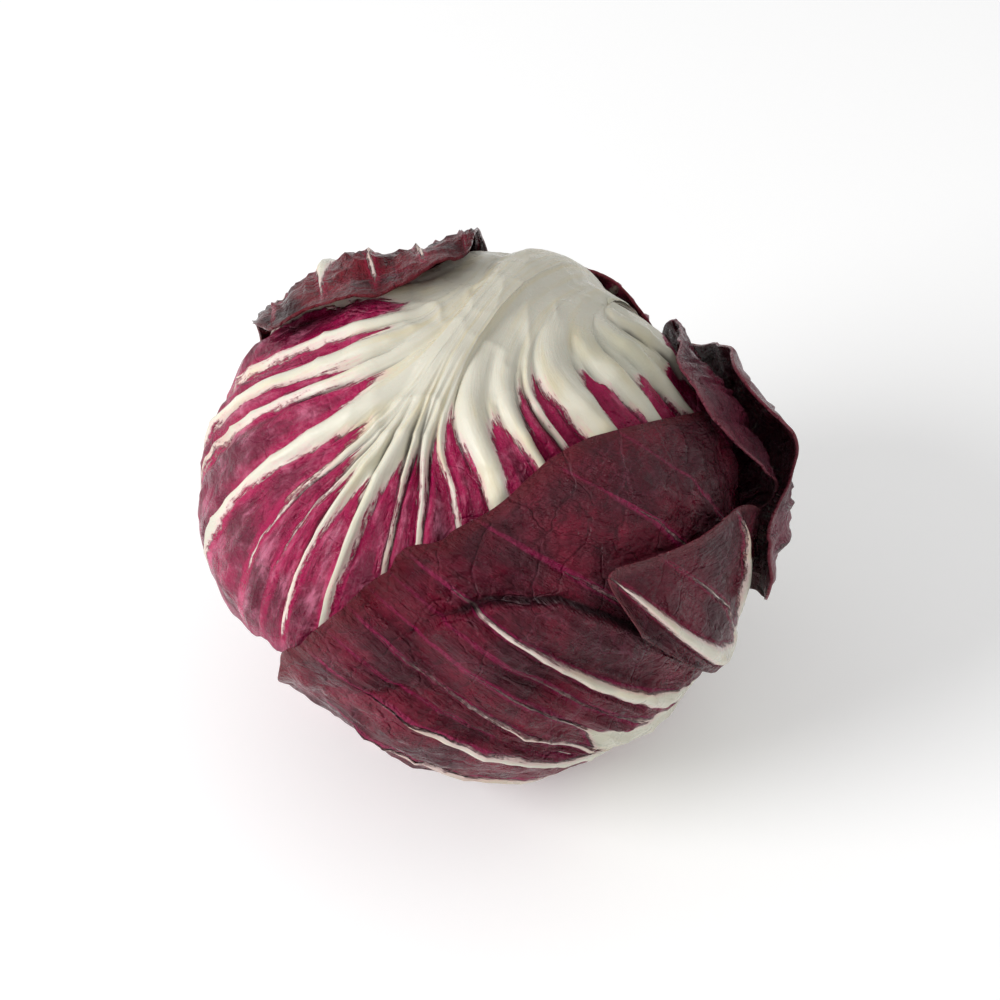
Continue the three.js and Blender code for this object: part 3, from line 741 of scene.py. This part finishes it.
LEAVES = [
    dict(
        name="leaf_white_fan",
        fan=(53, 58.4),
        base_spread=62,
        neck=19,
        depth=2.4,
        layer=3,
        steps=19,
        ruffle=0.3,
        ruffles=9,
        lift_from=3.4,
        taper=0.35,
        crinkle=(0.7, 22),
        midrib=dict(at=9, half=11, high=2),
        rows=[
            row((27, -48), (60, -98)),
            row((27, -31), (74, -86), half=2.4, high=1.2),
            row((33, -21), (98, -79), half=1.4, high=0.8, reach=0.9),
            row((40, -17), (106, -74), half=2.2, high=1.6),
            row((42, -12), (112, -70), half=1.4, high=1.0),
            row((48, -8), (126, -54), half=2.6, high=1.8),
            row((50, -5), (126, -35), half=0.8, high=0.6, reach=0.95),
            row((52, -4), (124, -25), half=0.6, high=0.4, reach=0.8),
            row((52, -3.2), (124, -17), half=1.7, high=1.4),
            row((50, -1.6), (118, -5), half=2.2, high=2.0),
            row((50, -0.3), (112, 7), half=0.9, high=0.8),
            row((50, 1.2), (106, 15), half=1.1, high=1.0),
            row((50, 3), (100, 26), half=0.8, high=0.7, reach=0.8),
            row((42, 4.5), (96, 38), half=3.0, high=1.8),
            row((39, 12.5), (92, 54), half=1.8, high=1.2),
            row((37, 19), (86, 62), half=0.8, high=0.6, reach=0.8),
            row((30, 25), (80, 71), half=4.0, high=1.8),
            row((26, 42), (72, 88), half=2.8, high=1.4),
            row((20, 58), (60, 95), half=2.6, high=1.2),
            row((16, 80), (46, 106), half=2.4, high=1.0),
            row((13, 104), (36, 122)),
        ],
    ),
    dict(
        name="leaf_back_left",
        fan=(101.6, -4),
        base_spread=55,
        neck=15,
        depth=1.7,
        layer=2,
        steps=21,
        ruffle=0.5,
        ruffles=6,
        lift_from=3.2,
        taper=0.45,
        crinkle=(1.8, 14),
        roll_length=4.5,
        roll_steps=5,
        midrib=dict(at=5, half=8, high=1.8),
        rows=[
            row((12, -120), (28, -128)),
            row((16, -85), (46, -100), half=1.5, high=1.0),
            row((20, -55), (52, -68), half=1.8, high=1.2),
            row((24, -30), (54, -42), half=2.0, high=1.3),
            row((26, -10), (50, -20), half=2.0, high=1.3),
            row((26, 3), (47, -1), half=2.4, high=1.8),
            row((25, 13), (53, 11), half=1.8, high=1.2),
            row((24, 25), (80, 24), half=1.8, high=1.2, lift=0.4, roll=0.4),
            row((22, 38), (88, 37), half=2.2, high=1.2, lift=0.6, roll=0.6),
            row((19, 50), (94, 48), half=1.6, high=1.0, lift=0.8, roll=0.7),
            row((16, 62), (90, 58), half=1.5, high=1.0, lift=0.8, roll=0.7),
            row((14, 76), (83, 67), half=1.2, high=0.8, lift=0.6, roll=0.5),
            row((12, 94), (52, 78), half=1.2, high=0.8, lift=1),
            row((10, 115), (28, 104)),
        ],
    ),
    dict(
        name="leaf_front_wrap",
        fan=(4.3, -41.1),
        base_spread=60,
        neck=17,
        depth=1.4,
        layer=1,
        steps=18,
        ruffle=0.5,
        ruffles=8,
        lift_from=3.4,
        taper=0.6,
        crinkle=(0.8, 22),
        midrib=dict(at=8, half=10, high=2),
        pleat=dict(
            crest=((116, -6), (112, -16), (107, -25), (96, -32), (87, -33.4), (73, -34.4), (36, -34)),
            high=3.2,
            step=1.2,
            fall=22,
        ),
        rows=[
            row((22, -100), (56, -100)),
            row((30, -84), (78, -84), half=0.8, high=0.4, reach=0.7),
            row((36, -66), (100, -66), half=0.8, high=0.5, reach=0.6),
            row((36, -54), (111, -54), half=0.9, high=0.6, reach=0.8),
            row((35, -43), (118, -37), bend=(88, -37.5), half=0.8, high=0.5, reach=0.95),
            row((38, -33), (122, -29), bend=(82, -29)),
            row((44, -25), (126, -23), bend=(84, -21), half=2.4, high=1.8, reach=0.9),
            row((41, -15), (126, -17), bend=(82, -15.5), half=0.6, high=0.4, reach=0.8),
            row((42, -5), (127, -11), bend=(80, -9.5), half=0.8, high=0.6, reach=0.8),
            row((44, 0), (127, -4), bend=(84, -2.5), half=1.1, high=0.9),
            row((45, 4), (127, 5), bend=(85, 2.5), half=0.5, high=0.3, reach=0.7),
            row((46, 8), (126, 14), bend=(86, 8), half=2.2, high=1.5),
            row((42, 24), (124, 28), half=1.5, high=1.0),
            row((34, 50), (110, 50), half=1.5, high=1.0),
            row((26, 80), (88, 76), half=1.5, high=0.9),
            row((20, 110), (60, 102)),
        ],
    ),
    dict(
        name="leaf_front_fold",
        fan=(4.3, -41.1),
        base_spread=26,
        neck=9,
        depth=0.6,
        layer=1,
        steps=13,
        ruffle=0.5,
        ruffles=4,
        lift_from=3.0,
        taper=0.55,
        crinkle=(0.8, 18),
        midrib=dict(at=4, half=6, high=1.5),
        rows=[
            row((22, -92), (42, -88), half=1.4, high=0.8, lift=0.8),
            row((30, -76), (53, -77), half=0.7, high=0.5, reach=0.8, lift=0.8),
            row((34, -59), (68, -66), half=1.9, high=1.4, lift=1.2),
            row((34, -50), (84, -48), half=0.7, high=0.4, lift=0.8),
            row((34, -42), (92, -40), bend=(66, -38), half=2.4, high=1.8, lift=0.6),
            row((30, -36), (80, -34), bend=(58, -33.5), lift=0.8),
        ],
    ),
    dict(
        name="leaf_back_cover",
        fan=(64, 2),
        base_spread=50,
        neck=12,
        depth=1.0,
        layer=1,
        steps=10,
        ruffle=0.8,
        ruffles=5,
        lift_from=3.0,
        taper=0.45,
        crinkle=(0.8, 16),
        midrib=dict(at=5, half=9, high=2.4),
        rows=[
            row((9, -115), (22, -118)),
            row((11, -86), (27, -88), half=1.5, high=1.0),
            row((13, -58), (28, -60), half=1.8, high=1.2),
            row((14, -34), (28, -36), half=1.8, high=1.2),
            row((15, -14), (29, -16), half=2.0, high=1.4),
            row((16, 2), (31, 2), half=2.6, high=2.0),
            row((16, 18), (33, 20), half=2.0, high=1.4),
            row((14, 38), (31, 40), half=1.8, high=1.2),
            row((12, 62), (26, 62), half=1.5, high=1.0),
            row((10, 90), (22, 90), half=1.2, high=0.8),
            row((8, 118), (20, 118)),
        ],
    ),
    dict(
        name="leaf_right_lobe",
        fan=(37.7, -18.7),
        base_spread=40,
        neck=9,
        depth=0.6,
        layer=1,
        steps=15,
        ruffle=0.6,
        ruffles=3,
        lift_from=2.6,
        taper=0.5,
        crinkle=(1.5, 14),
        midrib=dict(at=4, half=6, high=1.6),
        rows=[
            row((10, -112), (24, -112)),
            row((14, -92), (38, -92), half=1.2, high=0.8),
            row((18, -78), (45, -80), half=1.2, high=0.8),
            row((20, -66), (59, -67), half=1.4, high=1.0, lift=0.3),
            row((20, -57), (71, -58), half=1.2, high=0.8, lift=0.5),
            row((20, -48), (75, -51), half=1.2, high=0.8, lift=0.6),
            row((20, -37), (72, -42), half=1.0, high=0.8, lift=0.6),
            row((16, -22), (58, -31), half=1.0, high=0.6),
            row((11, 2), (32, -14)),
        ],
    ),
    dict(
        name="leaf_right_hood",
        fan=(37.7, -18.7),
        base_spread=56,
        neck=13,
        depth=0.3,
        layer=1,
        steps=14,
        ruffle=0.8,
        ruffles=4,
        lift_from=2.0,
        taper=0.5,
        crinkle=(1.0, 14),
        midrib=dict(at=7, half=7, high=2),
        rows=[
            row((8, -122), (16, -125)),
            row((12, -98), (28, -98), half=1.2, high=0.8),
            row((15, -80), (34, -80), half=1.2, high=0.8, lift=0.4),
            row((17, -66), (46, -66), half=1.4, high=1.0),
            row((18, -55), (58, -54), half=1.2, high=0.8, lift=0.4),
            row((18, -46), (59, -44), half=1.4, high=1.0, lift=1),
            row((18, -38), (51, -36), half=1.2, high=0.8, lift=3.2),
            row((18, -29), (50, -28), half=1.4, high=1.0, lift=1),
            row((18, -20), (60, -21), half=1.2, high=0.8),
            row((18, -10), (62, -12), half=1.6, high=1.2),
            row((17, 1), (58, -2), half=1.2, high=0.8),
            row((15, 14), (40, 9), half=1.2, high=0.8),
            row((13, 32), (29, 27), half=1.2, high=0.8),
            row((11, 56), (24, 50), half=1.0, high=0.6),
            row((9, 90), (20, 84)),
        ],
    ),
    dict(
        name="leaf_under",
        fan=(77.5, -62.6),
        base_spread=60,
        neck=15,
        depth=0.6,
        layer=0,
        steps=17,
        ruffle=0.4,
        ruffles=7,
        lift_from=3.0,
        taper=0.45,
        crinkle=(0.7, 20),
        midrib=dict(at=6, half=9, high=2),
        rows=[
            row((14, -120), (34, -118)),
            row((20, -92), (46, -92), half=1.5, high=1.0),
            row((25, -66), (50, -66), half=1.5, high=1.0),
            row((28, -44), (52, -44), half=1.5, high=1.0),
            row((30, -26), (51, -27), half=1.8, high=1.2),
            row((32, -10), (51, -10), half=2.0, high=1.4),
            row((32, 5), (50, 5), half=2.6, high=2.0),
            row((31, 18), (49, 20), half=2.0, high=1.4),
            row((30, 32), (54, 34), half=1.8, high=1.2),
            row((27, 48), (53, 50), half=1.5, high=1.0),
            row((24, 68), (54, 68), half=1.5, high=1.0),
            row((19, 92), (44, 92), half=1.5, high=1.0),
            row((14, 118), (32, 118)),
        ],
    ),
]


def rim_quads(loop, count):
    """Quads that join a loop of the outer face to the same loop of the inner face."""
    following = np.roll(loop, -1)
    return np.stack([loop, loop + count, following + count, following], 1)


def keep_attributes(mesh, attributes):
    """Values at the mesh's points that its material reads."""
    for key, values in attributes.items():
        kind, field = ("FLOAT", "value") if values.ndim == 1 else ("FLOAT_VECTOR", "vector")
        mesh.attributes.new(key, kind, "POINT").data.foreach_set(field, values.astype(np.float32).ravel())


def dress(made, node):
    """Puts a fine piece in its node's place, with its material."""
    made.data.materials.append(leaf_material(node, LOOKS[node]))
    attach(made, "root")
    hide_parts(node)


def add_object(name, data):
    made = bpy.data.objects.new(name, data)
    bpy.context.scene.collection.objects.link(made)
    return made


def mesh_object(name, vertices, faces, attributes):
    """A smooth mesh object from millimetres round the head's centre."""
    mesh = bpy.data.meshes.new(name)
    mesh.vertices.add(len(vertices))
    mesh.vertices.foreach_set("co", ((vertices + HEAD_AT) * MM).astype(np.float32).ravel())
    mesh.loops.add(faces.size)
    mesh.loops.foreach_set("vertex_index", faces.astype(np.int32).ravel())
    mesh.polygons.add(len(faces))
    mesh.polygons.foreach_set("loop_start", np.arange(0, faces.size, 4, dtype=np.int32))
    mesh.polygons.foreach_set("use_smooth", np.ones(len(faces), bool))
    mesh.update(calc_edges=True)
    mesh.validate()
    keep_attributes(mesh, attributes)
    return add_object(name, mesh)


def fine_leaf(leaf):
    """Lays a leaf on the stack as its solid lies, and puts a finer surface of the same form in its place."""
    leaf_map = LeafMap(*leaf["fan"])
    controls = control_points(leaf, leaf_map)
    coarse_places = even_places(controls, leaf["steps"], leaf.get("roll_steps", 0))
    coarse_across = np.arange((len(leaf["rows"]) - 1) * PER_ROW + 1) / PER_ROW
    coarse = LeafShape(leaf, leaf_map, controls, coarse_places, coarse_across)
    radii = np.linalg.norm(coarse.outer, axis=-1)
    highest = radii.copy()
    highest[:-1, :-1] = np.maximum(radii[:-1, :-1], radii[1:, 1:])
    raise_stack(coarse.directions.reshape(-1, 3), highest.ravel())

    fine_along, fine_across = LOOKS[leaf["name"]]["grid"]
    last = len(coarse_places) - 1
    index_along = np.linspace(0, last, fine_along + 1)
    places = np.interp(index_along, np.arange(last + 1), coarse_places)
    index_across = np.linspace(0, len(coarse_across) - 1, fine_across + 1)
    across = index_across / PER_ROW
    stacked = spline_weights(index_along, last + 1) @ coarse.stacked
    stacked = stacked @ spline_weights(index_across, len(coarse_across)).T
    shape = LeafShape(leaf, leaf_map, controls, places, across, stacked)

    grid = np.arange((fine_along + 1) * (fine_across + 1)).reshape(fine_along + 1, fine_across + 1)
    count = grid.size
    corners = (grid[:-1, :-1], grid[1:, :-1], grid[1:, 1:], grid[:-1, 1:])
    outer = np.stack([corner.ravel() for corner in corners], 1)
    loop = np.concatenate([grid[:-1, 0], grid[-1, :-1], grid[:0:-1, -1], grid[0, :0:-1]])
    faces = np.concatenate([outer, outer[:, ::-1] + count, rim_quads(loop, count)])
    kept = {
        "white": shape.white,
        "flow": shape.flow,
        "margin": shape.margin,
        "inward": shape.place - shape.start,
        "crease_and_shade": shape.crease_and_shade,
    }
    attributes = {key: np.concatenate([one.reshape(count, -1)] * 2).squeeze() for key, one in kept.items()}
    attributes["outside"] = np.repeat([1.0, 0.0], count)
    vertices = np.concatenate([shape.outer.reshape(-1, 3), shape.inner.reshape(-1, 3)])
    dress(mesh_object("fine_" + leaf["name"], vertices, faces, attributes), leaf["name"])


class Nodes:
    """A short way to write a material's nodes."""

    def __init__(self, name):
        self.material = bpy.data.materials.new(name)
        self.material.use_nodes = True
        self.tree = self.material.node_tree
        self.shader = self.tree.nodes["Principled BSDF"]

    def put(self, target, value):
        if isinstance(value, bpy.types.NodeSocket):
            self.tree.links.new(value, target)
        else:
            target.default_value = value

    def add(self, kind, inputs=None, output=0, **settings):
        node = self.tree.nodes.new("ShaderNode" + kind)
        for key, value in settings.items():
            setattr(node, key, value)
        for key, value in (inputs or {}).items():
            self.put(node.inputs[key], value)
        return node.outputs[output]

    def math(self, operation, a, b):
        return self.add("Math", {0: a, 1: b}, operation=operation)

    def sum(self, a, b):
        return self.math("ADD", a, b)

    def times(self, a, b):
        return self.math("MULTIPLY", a, b)

    def span(self, value, low, high, to_low=0.0, to_high=1.0):
        inputs = {"Value": value, "From Min": low, "From Max": high, "To Min": to_low, "To Max": to_high}
        return self.add("MapRange", inputs, interpolation_type="SMOOTHSTEP")

    def mix(self, factor, a, b):
        node = self.tree.nodes.new("ShaderNodeMix")
        node.data_type = "RGBA"
        self.put(node.inputs[0], factor)
        self.put(node.inputs[6], a)
        self.put(node.inputs[7], b)
        return node.outputs[2]

    def noise(self, vector, scale, detail=3.0, rough=0.55):
        inputs = {"Vector": vector, "Scale": scale, "Detail": detail, "Roughness": rough}
        return self.add("TexNoise", inputs, output="Fac")

    def stretched(self, vector, scale):
        return self.add("VectorMath", {0: vector, 1: scale}, operation="MULTIPLY")

    def cell_edges(self, vector, scale):
        """The distance to the edges of a net of cells."""
        inputs = {"Vector": vector, "Scale": scale}
        return self.add("TexVoronoi", inputs, output="Distance", feature="DISTANCE_TO_EDGE")

    def bump(self, height, distance, strength):
        return self.add("Bump", {"Height": height, "Distance": distance, "Strength": strength})

    def attribute(self, name, output):
        return self.add("Attribute", output=output, attribute_name=name)


def blade_colour(n, look, place, flow, flush):
    """Wine red in blotches and dark streaks, brighter beside the ribs, with pink patches of painted sheen."""
    inward = n.attribute("inward", "Fac")
    blotch = n.noise(place, 60.0, 4.0, 0.6)
    blade = n.mix(n.span(blotch, 0.40, 0.64), look["dark"], look["deep"])
    blade = n.mix(n.times(n.span(inward, 0.9, 0.0), 0.6), blade, look["deep"])
    fibres = n.noise(n.stretched(flow, (1.5, 0.16, 1.0)), 1.0, 4.0, 0.7)
    blade = n.mix(n.times(n.span(fibres, 0.46, 0.62), look["streak"]), blade, look["dark"])
    blade = n.mix(n.times(flush, 0.85), blade, look["bright"])
    # Pink patches of painted sheen, laid by noise
    sheen_patches = n.noise(n.stretched(flow, (0.3, 0.12, 1.0)), 1.0, 4.0, 0.65)
    return n.mix(n.times(n.span(sheen_patches, 0.48, 0.72), look["painted_sheen"]), blade, PINK)


def rib_colour(n, place, flow, field):
    """White with cream and greyish parts, pinker towards its edge."""
    creamy = n.noise(n.stretched(flow, (0.25, 0.05, 1.0)), 1.0, 3.0)
    rib = n.mix(n.span(creamy, 0.45, 0.75, 0.0, 0.6), WHITE, CREAM)
    rib = n.mix(n.span(n.noise(place, 24.0, 2.0), 0.45, 0.75, 0.0, 0.7), rib, SHADE)
    return n.mix(n.times(n.span(field, 1.6, 0.2), 0.30), rib, PINK)


def leaf_material(name, look):
    n = Nodes("skin_" + name)
    place = n.add("TexCoord", output="Object")
    flow = n.attribute("flow", "Vector")
    white = n.attribute("white", "Fac")
    margin = n.attribute("margin", "Fac")
    outside = n.attribute("outside", "Fac")

    # White where the ribs are, with a feathered edge that runs along the leaf
    streaks = n.noise(n.stretched(flow, (1.2, 0.07, 1.0)), 1.0, 4.0, 0.6)
    feather = n.noise(n.stretched(flow, (3.4, 0.28, 1.0)), 1.0, 3.0, 0.6)
    specks = n.noise(place, 900.0, 2.0)
    shift = n.sum(n.times(n.sum(streaks, -0.5), 5.0), n.times(n.sum(feather, -0.5), 3.4))
    shift = n.sum(shift, n.times(n.sum(specks, -0.5), 1.6))
    field = n.sum(white, n.times(shift, look["feather"]))
    whiteness = n.span(field, -0.25, 0.55)
    bare = n.math("SUBTRACT", 1.0, whiteness)
    blade = blade_colour(n, look, place, flow, n.span(field, -look["flush"], -0.2))
    skin = n.mix(whiteness, blade, rib_colour(n, place, flow, field))

    # Fine net veins, a little lighter than the blade
    wander = n.add("TexNoise", {"Vector": place, "Scale": 120.0, "Detail": 3.0}, output="Color")
    warp = n.stretched(wander, (0.007, 0.007, 0.007))
    warped = n.add("VectorMath", {0: place, 1: warp}, operation="ADD")
    net = n.cell_edges(warped, 260.0)
    veins = n.span(net, 0.09, 0.0)
    branch_veins = n.span(n.cell_edges(warped, 95.0), 0.045, 0.0)
    patchy = n.span(n.noise(place, 40.0, 2.0), 0.42, 0.66)
    lighter = n.times(n.sum(veins, n.times(branch_veins, 1.4)), n.times(bare, NET_STRENGTH))
    skin = n.mix(n.times(lighter, patchy), skin, PINK)

    # The margin, painted shade on the inner face, and painted shade in the creases and grooves
    skin = n.mix(n.times(n.span(margin, 0.86, 1.0), n.times(bare, 0.7)), skin, look["rim"])
    # The inner face is a quarter darker, towards the blade's dark colour: painted shade on the side that lies
    # against the head
    skin = n.mix(n.times(n.math("SUBTRACT", 1.0, outside), 0.25), skin, look["dark"])
    # Painted shade: darker in the pleat's crease, in the grooves beside the ribs and at the heart's leaf
    # margins
    skin = n.mix(n.times(n.span(n.attribute("crease_and_shade", "Fac"), 0.2, 0.9), 0.8), skin, CREASE_SHADE)
    n.put(n.shader.inputs["Base Color"], skin)

    gloss = n.span(n.noise(place, 140.0, 4.0, 0.65), 0.40, 0.62, 0.17, 0.46)
    n.put(n.shader.inputs["Roughness"], n.sum(gloss, n.times(whiteness, 0.05)))
    n.shader.inputs["Specular IOR Level"].default_value = look["shine"]
    n.shader.inputs["Subsurface Weight"].default_value = 0.10
    n.shader.inputs["Subsurface Radius"].default_value = (0.0016, 0.0008, 0.0006)
    n.shader.inputs["Subsurface Scale"].default_value = 1.0

    # Fine wrinkles along the leaf, and small blisters between the net veins
    grain = n.noise(n.stretched(flow, (2.6, 0.30, 1.0)), 1.0, 4.0, 0.65)
    blisters = n.times(n.span(net, 0.0, 0.35), 0.30)
    ripples = n.noise(n.stretched(flow, (0.9, 0.5, 1.0)), 1.0, 5.0, 0.6)
    blade_height = n.sum(n.times(ripples, 2.0), n.sum(blisters, n.times(branch_veins, -0.35)))
    roughness = n.times(n.noise(place, 520.0, 4.0, 0.6), 0.35)
    everywhere = n.times(n.sum(n.times(grain, 0.7), roughness), n.sum(n.times(bare, 0.75), 0.25))
    height = n.sum(n.times(bare, blade_height), everywhere)
    n.put(n.shader.inputs["Normal"], n.bump(height, BUMP_DEPTH, look["bump"]))
    return n.material


STEM_SIDE = np.cross(STEM, [0, 0, 1])
STEM_SIDE /= np.linalg.norm(STEM_SIDE)
STEM_UP = np.cross(STEM_SIDE, STEM)


def heart_turns(directions):
    """The angle from the stem, the share of a turn round it, and the share of the way to the next margin."""
    away = np.arccos(np.clip(directions @ STEM, -1, 1))
    turn = np.arctan2(directions @ STEM_UP, directions @ STEM_SIDE) / (2 * math.pi) + 0.5
    return away, turn, (turn * HEART_LEAVES + HEART_TWIST * away) % 1


def heart_radius(directions):
    """Inner leaves packed tight, each margin a low step over the next leaf."""
    away, turn, spiral = heart_turns(directions)
    slow, steep = HEART_STEP_SLOPES
    step = HEART_STEP * np.minimum(spiral * slow, (1 - spiral) * steep) * np.sin(away)
    radius = head_radius(directions) - HEART_DEPTH + step
    return np.minimum(radius, radius_above(directions, HEART_LAYER * REST_LAYER))


def heart_surface(directions):
    """The heart's radius with its ribs, and what its material reads."""
    away, turn, spiral = heart_turns(directions)
    spot = directions * HEAD_RADIUS
    count = HEART_LEAVES * HEART_RIBS
    row_at = (turn + 0.5) % 1 * count + HEART_TWIST * HEART_RIBS * away + 0.4 * noise(spot, 24.0)
    gap = np.abs((row_at + 0.5) % 1 - 0.5) * 2 * math.pi * HEAD_RADIUS * np.sin(away) / count
    half = HEART_RIB_HALF * np.maximum(0.6, 1.5 - 0.5 * away)
    ridge = HEART_RIB_HEIGHT * np.maximum(0, 1 - (gap / half) ** 2) * rise(away, 0.3, 0.7)
    puff = 0.5 * noise(spot, 9.0) + 0.35 * noise(spot + 30, 4.0)
    edge = np.exp(-((np.minimum(spiral, 1 - spiral) / HEART_EDGE) ** 2)) * rise(away, 0.4, 0.8)
    attributes = {
        "white": half - gap + 9 * np.maximum(0, 1.2 - away) ** 2,
        "flow": np.stack([row_at * ROW_SPACING, away * HEAD_RADIUS, np.zeros(away.shape)], -1),
        "margin": np.zeros(away.shape),
        "inward": 1.3 * away - 1.2,
        # Painted shade along each heart leaf's margin step, where it lies over the next leaf
        "crease_and_shade": 0.6 * edge,
        "outside": np.ones(away.shape),
    }
    return heart_radius(directions) + ridge + 0.35 * puff - 0.3, attributes


def fine_heart():
    """The heart on a grid whose lines run from the stem, as its ribs do."""
    around, along = HEART_GRID
    turn = np.arange(around)[None, :, None] / around * 2 * math.pi
    away = np.linspace(0, math.pi, along + 1)[1:-1, None, None]
    ring = np.sin(away) * (np.cos(turn) * STEM_UP + np.sin(turn) * STEM_SIDE) + np.cos(away) * STEM
    ring = ring.reshape(-1, 3)
    directions = np.concatenate([ring, [STEM, -STEM]])
    radii, attributes = heart_surface(directions)
    grid = np.arange(len(ring)).reshape(-1, around)
    following = np.roll(grid, -1, axis=1)
    quads = np.stack([grid[:-1].ravel(), grid[1:].ravel(), following[1:].ravel(), following[:-1].ravel()], 1)
    top, bottom = len(ring), len(ring) + 1
    caps = [(top, a, b) for a, b in zip(grid[0], following[0])]
    caps += [(bottom, b, a) for a, b in zip(grid[-1], following[-1])]
    mesh = bpy.data.meshes.new("fine_heart")
    vertices = (directions * radii[:, None] + HEAD_AT) * MM
    mesh.from_pydata(vertices.tolist(), [], quads.tolist() + [tuple(int(i) for i in face) for face in caps])
    mesh.polygons.foreach_set("use_smooth", np.ones(len(mesh.polygons), bool))
    keep_attributes(mesh, attributes)
    dress(add_object("fine_heart", mesh), "heart")


stack_radius[:] = heart_radius(stack_directions)
fine_heart()
for leaf in LEAVES:
    fine_leaf(leaf)

n = Nodes("cut_stem")
place = n.add("TexCoord", output="Object")
body = n.mix(n.span(n.noise(place, 180.0), 0.4, 0.7), STEM_PALE, STEM_BROWNED)
n.put(n.shader.inputs["Base Color"], body)
n.shader.inputs["Roughness"].default_value = 0.6
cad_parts["stem"].data.materials.clear()
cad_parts["stem"].data.materials.append(n.material)

# The view, at the photograph's angle
ELEVATION = math.radians(42)
CAMERA_DISTANCE = 600.0
LENS = 100.0
SENSOR = 36.0
HEAD_PIXEL = (466.0, 515.0)
PICTURE = 1000.0
towards = np.array([0, -math.cos(ELEVATION), math.sin(ELEVATION)])
upward = np.array([0, math.sin(ELEVATION), math.cos(ELEVATION)])
per_pixel = CAMERA_DISTANCE * SENSOR / LENS / PICTURE
aim = (
    HEAD_AT
    + np.array([1, 0, 0]) * (PICTURE / 2 - HEAD_PIXEL[0]) * per_pixel
    + upward * (HEAD_PIXEL[1] - PICTURE / 2) * per_pixel
)
camera_data = bpy.data.cameras.new("camera")
camera_data.lens = LENS
camera_data.sensor_width = SENSOR
camera_data.clip_end = 20
camera = add_object("camera", camera_data)
camera.location = Vector((aim + towards * CAMERA_DISTANCE) * MM)
camera.rotation_euler = (math.pi / 2 - ELEVATION, 0, 0)
bpy.context.scene.camera = camera
bpy.context.scene.view_settings.view_transform = "Standard"

# A white floor and soft studio light from the left
FLOOR_REACH = 3.0
FLOOR_GLOW = 0.14
floor_mesh = bpy.data.meshes.new("floor")
floor_corners = [(x * FLOOR_REACH, y * FLOOR_REACH, 0) for x, y in ((-1, -1), (1, -1), (1, 1), (-1, 1))]
floor_mesh.from_pydata(floor_corners, [], [(0, 1, 2, 3)])
floor = add_object("floor", floor_mesh)
n = Nodes("floor_white")
n.shader.inputs["Base Color"].default_value = (0.97, 0.97, 0.97, 1)
n.shader.inputs["Roughness"].default_value = 0.9
n.shader.inputs["Emission Color"].default_value = (1, 1, 1, 1)
n.shader.inputs["Emission Strength"].default_value = FLOOR_GLOW
floor_mesh.materials.append(n.material)


LIGHT_AT = Vector((-0.85, -0.46, 0.64))
LIGHT_TOWARDS = Vector((0, 0, 0.05))
LIGHT_SIZE = 0.6
LIGHT_POWER = 9.5
STUDIO_STRENGTH = 0.62
light_data = bpy.data.lights.new("key", "AREA")
light_data.shape = "DISK"
light_data.size = LIGHT_SIZE
light_data.energy = LIGHT_POWER
light = add_object("key", light_data)
light.location = LIGHT_AT
light.rotation_euler = (LIGHT_TOWARDS - LIGHT_AT).to_track_quat("-Z", "Y").to_euler()
world = bpy.data.worlds.new("studio")
bpy.context.scene.world = world
world.use_nodes = True
background = world.node_tree.nodes["Background"].inputs
background["Color"].default_value = (1, 1, 1, 1)
background["Strength"].default_value = STUDIO_STRENGTH
